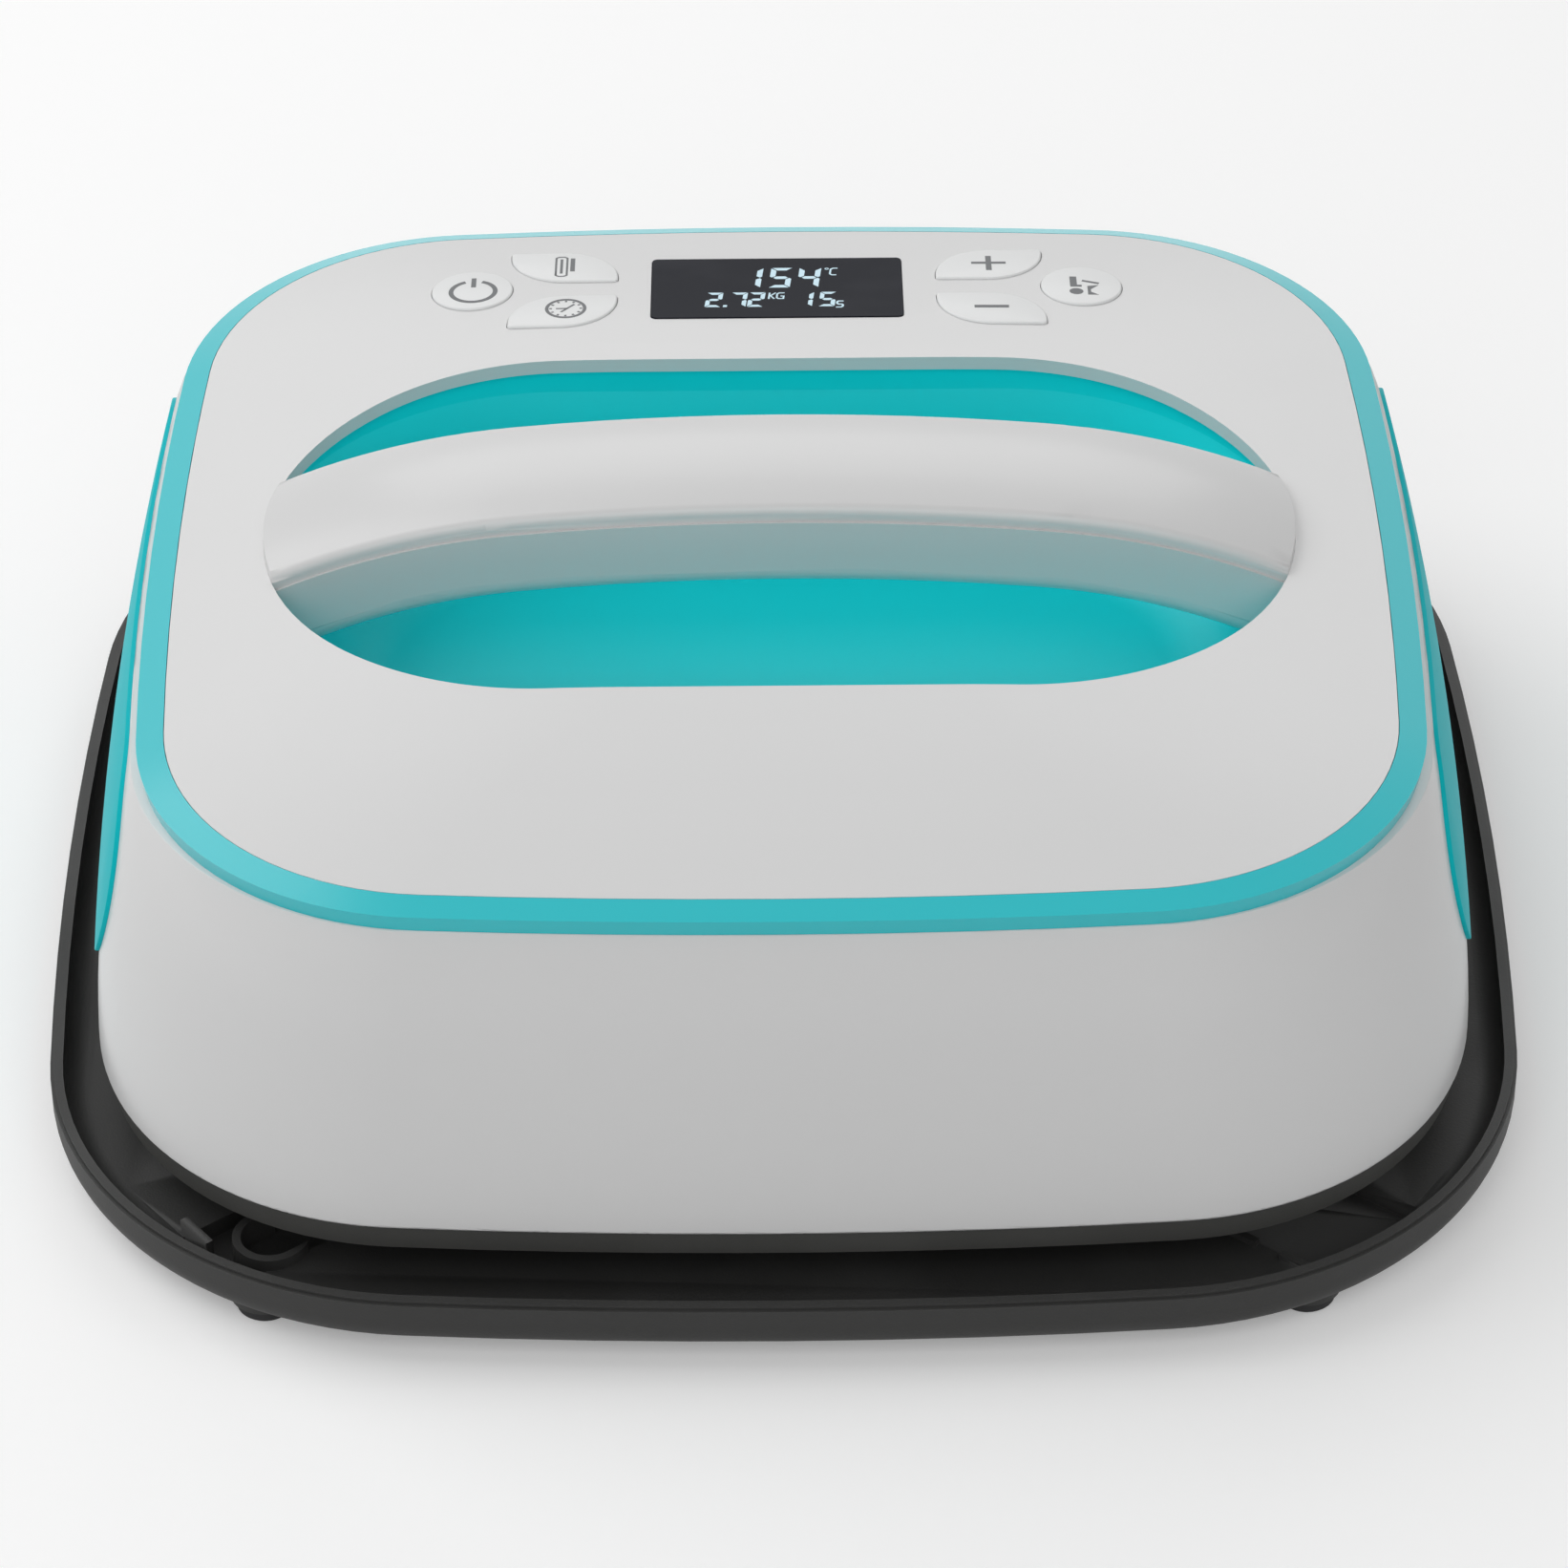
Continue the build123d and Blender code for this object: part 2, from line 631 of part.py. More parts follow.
with BuildPart() as base_tray:
    with BuildSketch(Plane.XY.offset(tray_z)):
        tray_outline(0)
    extrude(amount=TRAY_HEIGHT)
    fillet(base_tray.faces().sort_by(Axis.Z)[0].edges(), TRAY_BOTTOM_ROUND)
    # a flat collar for each foot where the underside rounds up
    with BuildSketch(Plane.XY.offset(tray_z)):
        spread_circles(foot_x, foot_y, FOOT_RADIUS + FOOT_COLLAR)
    extrude(amount=TRAY_FLOOR)
    add(tray_hollow.part, mode=Mode.SUBTRACT)
    # a shadow step along the outside of the rim
    with BuildSketch(Plane.XY.offset(rim_z - RIM_STEP)):
        tray_outline(RIM_STEP)
        tray_outline(-RIM_STEP, mode=Mode.SUBTRACT)
    extrude(amount=RIM_STEP, mode=Mode.SUBTRACT)
    # corner pockets, wider on the right than on the left
    with BuildSketch(Plane.XY.offset(pocket_z)):
        for end in (-1, 1):
            turn = end * POCKET_ANGLE
            with Locations(Location((left_pocket_x, end * left_pocket_y, 0), (0, 0, -turn))):
                Rectangle(POCKET_LENGTH, LEFT_POCKET_WIDTH)
            with Locations(Location((right_pocket_x, end * right_pocket_y, 0), (0, 0, turn))):
                Rectangle(POCKET_LENGTH, RIGHT_POCKET_WIDTH)
        tray_outline(-POCKET_TO_RIM, mode=Mode.INTERSECT)
    extrude(amount=TRAY_HEIGHT, mode=Mode.SUBTRACT)
    # raised platform, cored from below and ribbed
    with BuildSketch(Plane.XY.offset(pocket_z)):
        RectangleRounded(2 * platform_half, 2 * platform_half, PLATFORM_CORNER)
    extrude(amount=platform_z - pocket_z)
    with BuildSketch(Plane.XY.offset(tray_z)):
        core = 2 * (platform_half - PLATFORM_WALL)
        RectangleRounded(core, core, PLATFORM_CORNER - PLATFORM_WALL)
    extrude(amount=platform_z - PLATFORM_WALL - tray_z, mode=Mode.SUBTRACT)
    with BuildSketch(Plane.XY.offset(tray_z)):
        for line in range(1, PLATFORM_CELLS):
            across = core * line / PLATFORM_CELLS - core / 2
            with Locations((across, 0)):
                Rectangle(PLATFORM_RIB, core)
            with Locations((0, across)):
                Rectangle(core, PLATFORM_RIB)
    extrude(amount=platform_z - PLATFORM_WALL - tray_z)
    # open cups in the left pockets, each opening towards the middle
    with BuildSketch(Plane.XY.offset(pocket_z)):
        spread_circles(cup_x, cup_y, CUP_RADIUS)
        spread_circles(cup_x, cup_y, CUP_RADIUS - CUP_WALL, Mode.SUBTRACT)
        for end in (-1, 1):
            turn = -end * POCKET_ANGLE
            mouth = Location((-cup_x, end * cup_y, 0), (0, 0, turn)) * Location((CUP_RADIUS, 0, 0))
            with Locations(mouth):
                Rectangle(2 * CUP_RADIUS, 2 * (CUP_RADIUS - CUP_WALL), mode=Mode.SUBTRACT)
        with Locations((cup_x, 0)):
            Rectangle(2 * cup_x, 4 * cup_y, mode=Mode.SUBTRACT)
    extrude(amount=CUP_HEIGHT)
    # short tabs across the outer ends of the left pockets
    with BuildSketch(Plane.XY.offset(pocket_z)):
        for end in (-1, 1):
            turn = -end * POCKET_ANGLE
            with Locations(Location((tab_x, end * tab_y, 0), (0, 0, turn))):
                Rectangle(TAB_THICKNESS, TAB_LENGTH)
    extrude(amount=TAB_HEIGHT)
    # a rounded corner post and two low lips at each right pocket
    with BuildSketch(Plane.XY.offset(pocket_z)):
        with Locations((corner_post_x, -corner_post_y), (corner_post_x, corner_post_y)):
            Circle(CORNER_POST_RADIUS)
    extrude(amount=platform_z - pocket_z)
    with BuildSketch(Plane.XY.offset(channel_z)):
        for end in (-1, 1):
            turn = end * POCKET_ANGLE
            lip_y = end * (RIGHT_POCKET_WIDTH + LIP_WIDTH) / 2
            with Locations(Location((right_pocket_x, end * right_pocket_y, 0), (0, 0, turn))):
                with Locations((-LIP_INNER_X, lip_y), (-LIP_OUTER_X, lip_y)):
                    Rectangle(LIP_LENGTH, LIP_WIDTH)
    extrude(amount=LIP_HEIGHT)
    with BuildSketch(Plane.XY.offset(tray_z)):
        spread_circles(foot_x, foot_y, FOOT_RADIUS + SEAM_GAP)
    extrude(amount=FOOT_RECESS, mode=Mode.SUBTRACT)
base_tray.part.label = "base_tray"
export_step(base_tray.part, "parts/base_tray.step")

with BuildPart() as base_feet:
    with BuildSketch():
        spread_circles(foot_x, foot_y, FOOT_RADIUS)
    extrude(amount=tray_z + FOOT_RECESS)
    chamfer(base_feet.faces().group_by(Axis.Z)[0].edges(), FOOT_EDGE)
base_feet.part.label = "base_feet"
export_step(base_feet.part, "parts/base_feet.step")

with BuildPart() as tray_mat:
    with BuildSketch(Plane.XY.offset(platform_z)):
        mat_side = 2 * (platform_half - MAT_INSET)
        RectangleRounded(mat_side, mat_side, PLATFORM_CORNER - MAT_INSET)
    extrude(amount=MAT_THICKNESS)
tray_mat.part.label = "tray_mat"
export_step(tray_mat.part, "parts/tray_mat.step")

# ---------------------------------------------------------------------------
# Housing: cover, ring, shell, inlays and skirt
# ---------------------------------------------------------------------------

keys = (
    ("power_button", "round", -ROUND_KEY_X, 0),
    ("temperature_button", "fall", -LEAF_KEY_X, LEAF_KEY_SPREAD),
    ("timer_button", "rise", -LEAF_KEY_X, -LEAF_KEY_SPREAD),
    ("plus_button", "rise", LEAF_KEY_X, LEAF_KEY_SPREAD),
    ("minus_button", "fall", LEAF_KEY_X, -LEAF_KEY_SPREAD),
    ("mode_button", "round", ROUND_KEY_X, 0),
)

with BuildPart() as top_cover:
    add(crown_block(0, 0, edge_z - COVER_WALL))
    add(crown_block(COVER_WALL, COVER_WALL, edge_z - 2 * COVER_WALL), mode=Mode.SUBTRACT)
    with BuildSketch(Plane.XY.offset(edge_z - 2 * COVER_WALL)):
        SlotOverall(opening_length, opening_depth)
    extrude(amount=2 * COVER_WALL + 2 * CROWN_HEIGHT, mode=Mode.SUBTRACT)
    for name, kind, key_x, key_v in keys:
        with BuildSketch(on_panel(key_x, key_v, -2 * COVER_WALL)):
            key_outline(kind, KEY_GAP)
        extrude(amount=4 * COVER_WALL, mode=Mode.SUBTRACT)
    with BuildSketch(on_panel(0, 0, -2 * COVER_WALL)):
        RectangleRounded(
            WINDOW_WIDTH + 2 * SEAM_GAP, WINDOW_DEPTH + 2 * SEAM_GAP, WINDOW_CORNER + SEAM_GAP
        )
    extrude(amount=4 * COVER_WALL, mode=Mode.SUBTRACT)
    # long posts that the frame is screwed to
    with BuildSketch(Plane.XY.offset(frame_top)):
        spread_circles(cover_post_x, cover_post_y, POST_RADIUS)
    extrude(amount=edge_z - frame_top)
    with BuildSketch(Plane.XY.offset(frame_top)):
        spread_circles(cover_post_x, cover_post_y, SCREW_RADIUS + FIT_GAP)
    extrude(amount=SCREW_GRIP + 1, mode=Mode.SUBTRACT)
    # short bosses for the control board
    with BuildSketch(on_panel(0, 0, panel_board_top)):
        spread_circles(PANEL_BOSS_X, PANEL_BOSS_V, PANEL_BOSS_RADIUS)
    extrude(amount=-panel_board_top - COVER_WALL / 2 - KEY_SAG)
    with BuildSketch(on_panel(0, 0, panel_board_top)):
        spread_circles(PANEL_BOSS_X, PANEL_BOSS_V, BOARD_SCREW_RADIUS + FIT_GAP)
    extrude(amount=BOARD_SCREW_GRIP + 1, mode=Mode.SUBTRACT)
top_cover.part.label = "top_cover"
export_step(top_cover.part, "parts/top_cover.step")

with BuildPart() as rim_ring:
    with BuildSketch(Plane.XY.offset(ring_z)):
        cover_outline(RING_WIDTH)
    extrude(amount=RING_SIDE)
    with BuildSketch(Plane.XY.offset(ring_z + RING_SIDE)):
        cover_outline(RING_WIDTH)
    with BuildSketch(Plane.XY.offset(edge_z)):
        cover_outline(SEAM_GAP)
    loft(ruled=True)
    with BuildSketch(Plane.XY.offset(edge_z - COVER_WALL - SEAM_GAP)):
        cover_outline(SEAM_GAP)
    extrude(amount=2 * COVER_WALL, mode=Mode.SUBTRACT)
    with BuildSketch(Plane.XY.offset(ring_z)):
        cover_outline(-RING_LEDGE)
    extrude(amount=RING_SIDE + RING_SLOPE, mode=Mode.SUBTRACT)
rim_ring.part.label = "rim_ring"
export_step(rim_ring.part, "parts/rim_ring.step")

gland_wall_y = shell_half_y(gland_z)
gland_seat_y = gland_wall_y - GLAND_SEAT_DEPTH
gland_boss_y = gland_wall_y - SHELL_WALL - GLAND_BOSS
accent_z = ring_z - ACCENT_BELOW_RING - ACCENT_HEIGHT / 2


def rear_plane(y):
    """Plane facing backwards at the cord entry."""
    return Plane(origin=(0, y, gland_z), x_dir=(-1, 0, 0), z_dir=(0, 1, 0))


with BuildPart() as inlay_recess:
    with BuildSketch(Plane.YZ.offset(-2 * shell_foot_half_x)):
        with Locations((0, accent_z)):
            SlotOverall(2 * (ACCENT_HALF_LENGTH + SEAM_GAP), ACCENT_HEIGHT + 2 * SEAM_GAP)
    extrude(amount=4 * shell_foot_half_x)
    add(flared_block(-ACCENT_DEPTH - SEAM_GAP, shell_z, ring_z), mode=Mode.SUBTRACT)

with BuildPart() as body_shell:
    add(flared_block(0, shell_z, ring_z))
    fillet(body_shell.faces().sort_by(Axis.Z)[0].edges(), SHELL_EDGE_ROUND)
    add(flared_block(-SHELL_WALL, shell_z - SHELL_WALL, flange_z), mode=Mode.SUBTRACT)
    with BuildSketch(Plane.XY.offset(flange_z - SHELL_WALL)):
        cover_outline(-SHELL_FLANGE)
    extrude(amount=SHELL_FLANGE_THICKNESS + 2 * SHELL_WALL, mode=Mode.SUBTRACT)
    add(inlay_recess.part, mode=Mode.SUBTRACT)
    with BuildSketch(Plane.XY.offset(frame_top)):
        housing_circles(POST_RADIUS)
    extrude(amount=flange_z - frame_top)
    with BuildSketch(Plane.XY.offset(frame_top)):
        housing_circles(SCREW_RADIUS + FIT_GAP)
    extrude(amount=SCREW_GRIP + 1, mode=Mode.SUBTRACT)
    # cord entry: a boss inside, a hole through and a flat seat outside
    with BuildSketch(rear_plane(gland_boss_y)):
        Circle(GLAND_NUT_RADIUS + 1)
    extrude(amount=gland_wall_y - SHELL_WALL / 2 - gland_boss_y)
    with BuildSketch(rear_plane(gland_boss_y - 1)):
        Circle(GLAND_BODY_RADIUS + SEAM_GAP)
    extrude(amount=4 * SHELL_WALL, mode=Mode.SUBTRACT)
    with BuildSketch(rear_plane(gland_seat_y)):
        Circle(GLAND_FLANGE_RADIUS + SEAM_GAP)
    extrude(amount=4 * SHELL_WALL, mode=Mode.SUBTRACT)
body_shell.part.label = "body_shell"
export_step(body_shell.part, "parts/body_shell.step")

for name, side in (("side_inlay_left", -1), ("side_inlay_right", 1)):
    with BuildPart() as inlay:
        add(flared_block(ACCENT_PROUD, shell_z, ring_z))
        add(flared_block(-ACCENT_DEPTH, shell_z, ring_z), mode=Mode.SUBTRACT)
        with BuildSketch(Plane.YZ.offset(side * 1.5 * shell_foot_half_x)):
            with Locations((0, accent_z)):
                SlotOverall(2 * ACCENT_HALF_LENGTH, ACCENT_HEIGHT)
        extrude(amount=-side * shell_foot_half_x, mode=Mode.INTERSECT)
    inlay.part.label = name
    export_step(inlay.part, f"parts/{name}.step")

with BuildPart() as bottom_skirt:
    with BuildSketch(Plane.XY.offset(skirt_z)):
        shell_outline(shell_z, -SKIRT_INSET)
    extrude(amount=SKIRT_BAND - SEAT_GAP)
    with BuildSketch(Plane.XY.offset(skirt_z + SKIRT_BAND - SEAT_GAP)):
        shell_outline(shell_z, -SHELL_WALL - SEAT_GAP)
    extrude(amount=SKIRT_SPIGOT)
    with BuildSketch(Plane.XY.offset(skirt_z + SKIRT_WALL)):
        shell_outline(shell_z, -SHELL_WALL - SEAT_GAP - SKIRT_WALL)
    extrude(amount=SKIRT_BAND + SKIRT_SPIGOT, mode=Mode.SUBTRACT)
    with BuildSketch(Plane.XY.offset(skirt_z)):
        housing_circles(SKIRT_POST_RADIUS)
    extrude(amount=frame_z - skirt_z)
    with BuildSketch(Plane.XY.offset(skirt_z)):
        plate_outline(PLATE_MARGIN)
    extrude(amount=SKIRT_WALL, mode=Mode.SUBTRACT)
    with BuildSketch(Plane.XY.offset(skirt_z)):
        housing_circles(SCREW_HEAD_RADIUS + SCREW_CLEARANCE)
    extrude(amount=frame_z - FRAME_THICKNESS - skirt_z, mode=Mode.SUBTRACT)
    with BuildSketch(Plane.XY.offset(skirt_z)):
        housing_circles(SCREW_RADIUS + SCREW_CLEARANCE)
    extrude(amount=frame_z - skirt_z, mode=Mode.SUBTRACT)
bottom_skirt.part.label = "bottom_skirt"
export_step(bottom_skirt.part, "parts/bottom_skirt.step")

# ---------------------------------------------------------------------------
# Finger bowl and handle
# ---------------------------------------------------------------------------

with BuildPart() as recess_bowl:
    add(bowl_block(BOWL_EDGE_STEP + BOWL_WALL, bowl_floor_z - BOWL_WALL, edge_z + CROWN_HEIGHT))
    add(
        crown_block(COVER_WALL, COVER_WALL + SEAM_GAP, bowl_floor_z - 2 * BOWL_WALL),
        mode=Mode.INTERSECT,
    )
    add(
        bowl_block(BOWL_EDGE_STEP, bowl_floor_z, edge_z + 2 * CROWN_HEIGHT),
        mode=Mode.SUBTRACT,
    )
    # windows in the end walls for the handle's tongues
    with BuildSketch(Plane.YZ.offset(-opening_length)):
        with Locations((0, tongue_z + TONGUE_HEIGHT / 2)):
            Rectangle(TONGUE_WIDTH + 2 * SEAT_GAP, TONGUE_HEIGHT + 2 * SEAT_GAP)
    extrude(amount=2 * opening_length, mode=Mode.SUBTRACT)
recess_bowl.part.label = "recess_bowl"
export_step(recess_bowl.part, "parts/recess_bowl.step")

handle_room = bowl_block(-SEAM_GAP, bowl_floor_z, edge_z + 2 * HANDLE_RISE)
handle_hollow = arch_band(HANDLE_HOLLOW_ANGLE, -HANDLE_HEIGHT, HANDLE_RISE, HANDLE_WALL)
tongue_inner = opening_length / 2 - TONGUE_INSIDE
tongue_outer = opening_length / 2 + TONGUE_REACH

with BuildPart() as handle_upper:
    add(arch_band(HANDLE_END_ANGLE, -HANDLE_CAP, HANDLE_RISE, 0))
    add(handle_room, mode=Mode.INTERSECT)
    add(handle_hollow, mode=Mode.SUBTRACT)
handle_upper.part.label = "handle_upper"
export_step(handle_upper.part, "parts/handle_upper.step")

with BuildPart() as handle_lower:
    add(arch_band(HANDLE_END_ANGLE, -HANDLE_HEIGHT, -HANDLE_CAP - SEAM_GAP, 0))
    add(handle_room, mode=Mode.INTERSECT)
    add(handle_hollow, mode=Mode.SUBTRACT)
    with BuildSketch(Plane.XY.offset(tongue_z)):
        for side in (-1, 1):
            with Locations((side * (tongue_inner + tongue_outer) / 2, 0)):
                Rectangle(tongue_outer - tongue_inner, TONGUE_WIDTH)
    extrude(amount=TONGUE_HEIGHT)
    with BuildSketch(Plane.XY.offset(tongue_z)):
        handle_post_circles(SCREW_RADIUS + FIT_GAP)
    extrude(amount=TONGUE_HEIGHT, mode=Mode.SUBTRACT)
handle_lower.part.label = "handle_lower"
export_step(handle_lower.part, "parts/handle_lower.step")

# ---------------------------------------------------------------------------
# Control panel: keys, window, display, board, switches and buzzer
# ---------------------------------------------------------------------------

raised_crown = crown_block(0, -KEY_PROUD, edge_z - COVER_WALL)
for name, kind, key_x, key_v in keys:
    with BuildPart() as key:
        with BuildSketch(on_panel(key_x, key_v, key_flange_top)):
            key_outline(kind, 0)
        extrude(amount=-key_flange_top + 2 * KEY_PROUD)
        add(raised_crown, mode=Mode.INTERSECT)
        with BuildSketch(on_panel(key_x, key_v, key_flange_top)):
            key_outline(kind, KEY_FLANGE)
        extrude(amount=-KEY_FLANGE_THICKNESS)
        with BuildSketch(on_panel(key_x, key_v, key_flange_top - KEY_FLANGE_THICKNESS)):
            Circle(KEY_PIN_RADIUS)
        extrude(amount=-KEY_PIN)
    key.part.label = name
    export_step(key.part, f"parts/{name}.step")

with BuildPart() as display_window:
    with BuildSketch(on_panel(0, 0, WINDOW_PROUD)):
        RectangleRounded(WINDOW_WIDTH, WINDOW_DEPTH, WINDOW_CORNER)
    extrude(amount=key_flange_top - WINDOW_PROUD)
    with BuildSketch(on_panel(0, 0, key_flange_top)):
        RectangleRounded(
            WINDOW_WIDTH + 2 * WINDOW_RIM, WINDOW_DEPTH + 2 * WINDOW_RIM, WINDOW_CORNER + WINDOW_RIM
        )
    extrude(amount=-WINDOW_RIM_THICKNESS)
    with BuildSketch(on_panel(0, 0, WINDOW_PROUD - WINDOW_THICKNESS)):
        Rectangle(WINDOW_WIDTH - 2 * DISPLAY_INSET, WINDOW_DEPTH - 2 * DISPLAY_INSET)
    extrude(amount=-2 * COVER_WALL, mode=Mode.SUBTRACT)
display_window.part.label = "display_window"
export_step(display_window.part, "parts/display_window.step")

display_top = WINDOW_PROUD - WINDOW_THICKNESS - SEAM_GAP
with BuildPart() as display_module:
    with BuildSketch(on_panel(0, 0, display_top)):
        Rectangle(
            WINDOW_WIDTH - 2 * DISPLAY_INSET - 2 * SEAT_GAP,
            WINDOW_DEPTH - 2 * DISPLAY_INSET - 2 * SEAT_GAP,
        )
    extrude(amount=panel_board_top - display_top)
display_module.part.label = "display_module"
export_step(display_module.part, "parts/display_module.step")

with BuildPart() as control_board:
    with BuildSketch(on_panel(0, 0, panel_board_top)):
        Rectangle(CONTROL_BOARD_WIDTH, CONTROL_BOARD_DEPTH)
        spread_circles(
            PANEL_BOSS_X, PANEL_BOSS_V, BOARD_SCREW_RADIUS + SCREW_CLEARANCE, Mode.SUBTRACT
        )
    extrude(amount=-BOARD_THICKNESS)
control_board.part.label = "control_board"
export_step(control_board.part, "parts/control_board.step")

with BuildPart() as key_switches:
    for name, kind, key_x, key_v in keys:
        with BuildSketch(on_panel(key_x, key_v, panel_board_top)):
            Rectangle(SWITCH_SIZE, SWITCH_SIZE)
        extrude(amount=SWITCH_BODY)
        with BuildSketch(on_panel(key_x, key_v, panel_board_top)):
            Circle(SWITCH_STEM_RADIUS)
        extrude(amount=SWITCH_HEIGHT)
key_switches.part.label = "key_switches"
export_step(key_switches.part, "parts/key_switches.step")

with BuildPart() as buzzer:
    with BuildSketch(on_panel(BUZZER_X, BUZZER_V, panel_board_top)):
        Circle(BUZZER_RADIUS)
    extrude(amount=BUZZER_HEIGHT)
    with BuildSketch(on_panel(BUZZER_X, BUZZER_V, panel_board_top + BUZZER_HEIGHT)):
        Circle(BUZZER_RADIUS / 5)
    extrude(amount=-BUZZER_HEIGHT / 2, mode=Mode.SUBTRACT)
buzzer.part.label = "buzzer"
export_step(buzzer.part, "parts/buzzer.step")

# ---------------------------------------------------------------------------
# Inner frame and power electronics
# ---------------------------------------------------------------------------

board_hole_x = POWER_BOARD_WIDTH / 2 - BOARD_SCREW_INSET
board_hole_y = POWER_BOARD_DEPTH / 2 - BOARD_SCREW_INSET
board_top = board_z + BOARD_THICKNESS

with BuildPart() as inner_frame:
    with BuildSketch(Plane.XY.offset(frame_z)):
        shell_outline(frame_z, -SHELL_WALL - FRAME_TO_SHELL)
    extrude(amount=FRAME_THICKNESS)
    with BuildSketch(Plane.XY.offset(frame_z)):
        handle_post_circles(HANDLE_POST_RADIUS)
    extrude(amount=tongue_z - frame_z)
    with BuildSketch(Plane.XY.offset(frame_z)):
        with Locations((0, power_board_y)):
            spread_circles(board_hole_x, board_hole_y, STANDOFF_RADIUS)
    extrude(amount=board_z - frame_z)
    # pilot holes in the standoffs
    with BuildSketch(Plane.XY.offset(board_z)):
        with Locations((0, power_board_y)):
            spread_circles(board_hole_x, board_hole_y, BOARD_SCREW_RADIUS + FIT_GAP)
    extrude(amount=-BOARD_SCREW_GRIP - 1, mode=Mode.SUBTRACT)
    # through holes for the screws, openings over the load cells and for the wires
    with BuildSketch(Plane.XY.offset(frame_z)):
        housing_circles(SCREW_RADIUS + SCREW_CLEARANCE)
        handle_post_circles(SCREW_RADIUS + SCREW_CLEARANCE)
        spread_circles(cover_post_x, cover_post_y, SCREW_RADIUS + SCREW_CLEARANCE)
        spread_circles(cell_spacing, cell_spacing, CELL_ACCESS_RADIUS)
        with Locations((0, FRAME_WINDOW_Y)):
            Rectangle(FRAME_WINDOW_WIDTH, FRAME_WINDOW_DEPTH)
    extrude(amount=tongue_z - frame_z, mode=Mode.SUBTRACT)
inner_frame.part.label = "inner_frame"
export_step(inner_frame.part, "parts/inner_frame.step")

with BuildPart() as power_board:
    with BuildSketch(Plane.XY.offset(board_z)):
        with Locations((0, power_board_y)):
            Rectangle(POWER_BOARD_WIDTH, POWER_BOARD_DEPTH)
            spread_circles(
                board_hole_x, board_hole_y, BOARD_SCREW_RADIUS + SCREW_CLEARANCE, Mode.SUBTRACT
            )
    extrude(amount=BOARD_THICKNESS)
power_board.part.label = "power_board"
export_step(power_board.part, "parts/power_board.step")

with BuildPart() as transformer:
    width, depth, height = TRANSFORMER_SIZE
    with BuildSketch(Plane.XY.offset(board_top)):
        with Locations((TRANSFORMER_X, power_board_y)):
            Rectangle(width, depth - 2 * TRANSFORMER_LIP)
    extrude(amount=height)
    with BuildSketch(Plane.XY.offset(board_top)):
        with Locations((TRANSFORMER_X, power_board_y)):
            RectangleRounded(width - 2 * TRANSFORMER_LIP, depth, TRANSFORMER_LIP / 2)
    extrude(amount=height - TRANSFORMER_LIP)
transformer.part.label = "transformer"
export_step(transformer.part, "parts/transformer.step")

with BuildPart() as relay:
    width, depth, height = RELAY_SIZE
    with BuildSketch(Plane.XY.offset(board_top)):
        with Locations((RELAY_X, power_board_y)):
            Rectangle(width, depth)
    extrude(amount=height)
    chamfer(relay.faces().sort_by(Axis.Z)[-1].edges(), FOOT_EDGE)
relay.part.label = "relay"
export_step(relay.part, "parts/relay.step")

with BuildPart() as filter_capacitor:
    with BuildSketch(Plane.XY.offset(board_top)):
        with Locations((CAPACITOR_X, power_board_y)):
            Circle(CAPACITOR_RADIUS)
    extrude(amount=CAPACITOR_HEIGHT)
    fillet(filter_capacitor.faces().sort_by(Axis.Z)[-1].edges(), FOOT_EDGE)
filter_capacitor.part.label = "filter_capacitor"
export_step(filter_capacitor.part, "parts/filter_capacitor.step")

with BuildPart() as terminal_block:
    width, depth, height = TERMINAL_SIZE
    pole = width / TERMINAL_POLES
    with BuildSketch(Plane.XY.offset(board_top)):
        with Locations((TERMINAL_X, power_board_y)):
            Rectangle(width, depth)
    extrude(amount=height)
    with BuildSketch(Plane.XY.offset(board_top + height)):
        with Locations((TERMINAL_X, power_board_y)):
            with GridLocations(pole, 1, TERMINAL_POLES, 1):
                Circle(pole / 3)
    extrude(amount=-height / 2, mode=Mode.SUBTRACT)
terminal_block.part.label = "terminal_block"
export_step(terminal_block.part, "parts/terminal_block.step")

with BuildPart() as fuse:
    with BuildSketch(Plane.YZ.offset(FUSE_X - FUSE_LENGTH / 2)):
        with Locations((fuse_y, board_top + FUSE_CAP)):
            Circle(FUSE_RADIUS - SEAT_GAP)
    extrude(amount=FUSE_LENGTH)
    for clip_x in (FUSE_X - FUSE_LENGTH / 2, FUSE_X + FUSE_LENGTH / 2 - FUSE_CAP):
        with BuildSketch(Plane.YZ.offset(clip_x)):
            with Locations((fuse_y, board_top + FUSE_CAP)):
                Circle(FUSE_RADIUS)
            with Locations((fuse_y, board_top + FUSE_CAP / 2)):
                Rectangle(FUSE_RADIUS, FUSE_CAP)
        extrude(amount=FUSE_CAP)
fuse.part.label = "fuse"
export_step(fuse.part, "parts/fuse.step")

# ---------------------------------------------------------------------------
# Heater stack: plate, element, clamp, insulation, shield and sensors
# ---------------------------------------------------------------------------


def cell_screw_circles(radius, mode=Mode.ADD):
    """Draw a circle on the axis of each load cell."""
    spread_circles(cell_spacing, cell_spacing, radius, mode)


def plate_bolt_circles(radius, mode=Mode.ADD):
    """Draw a circle on the axis of each plate bolt."""
    spread_circles(plate_bolt_spacing, plate_bolt_spacing, radius, mode)


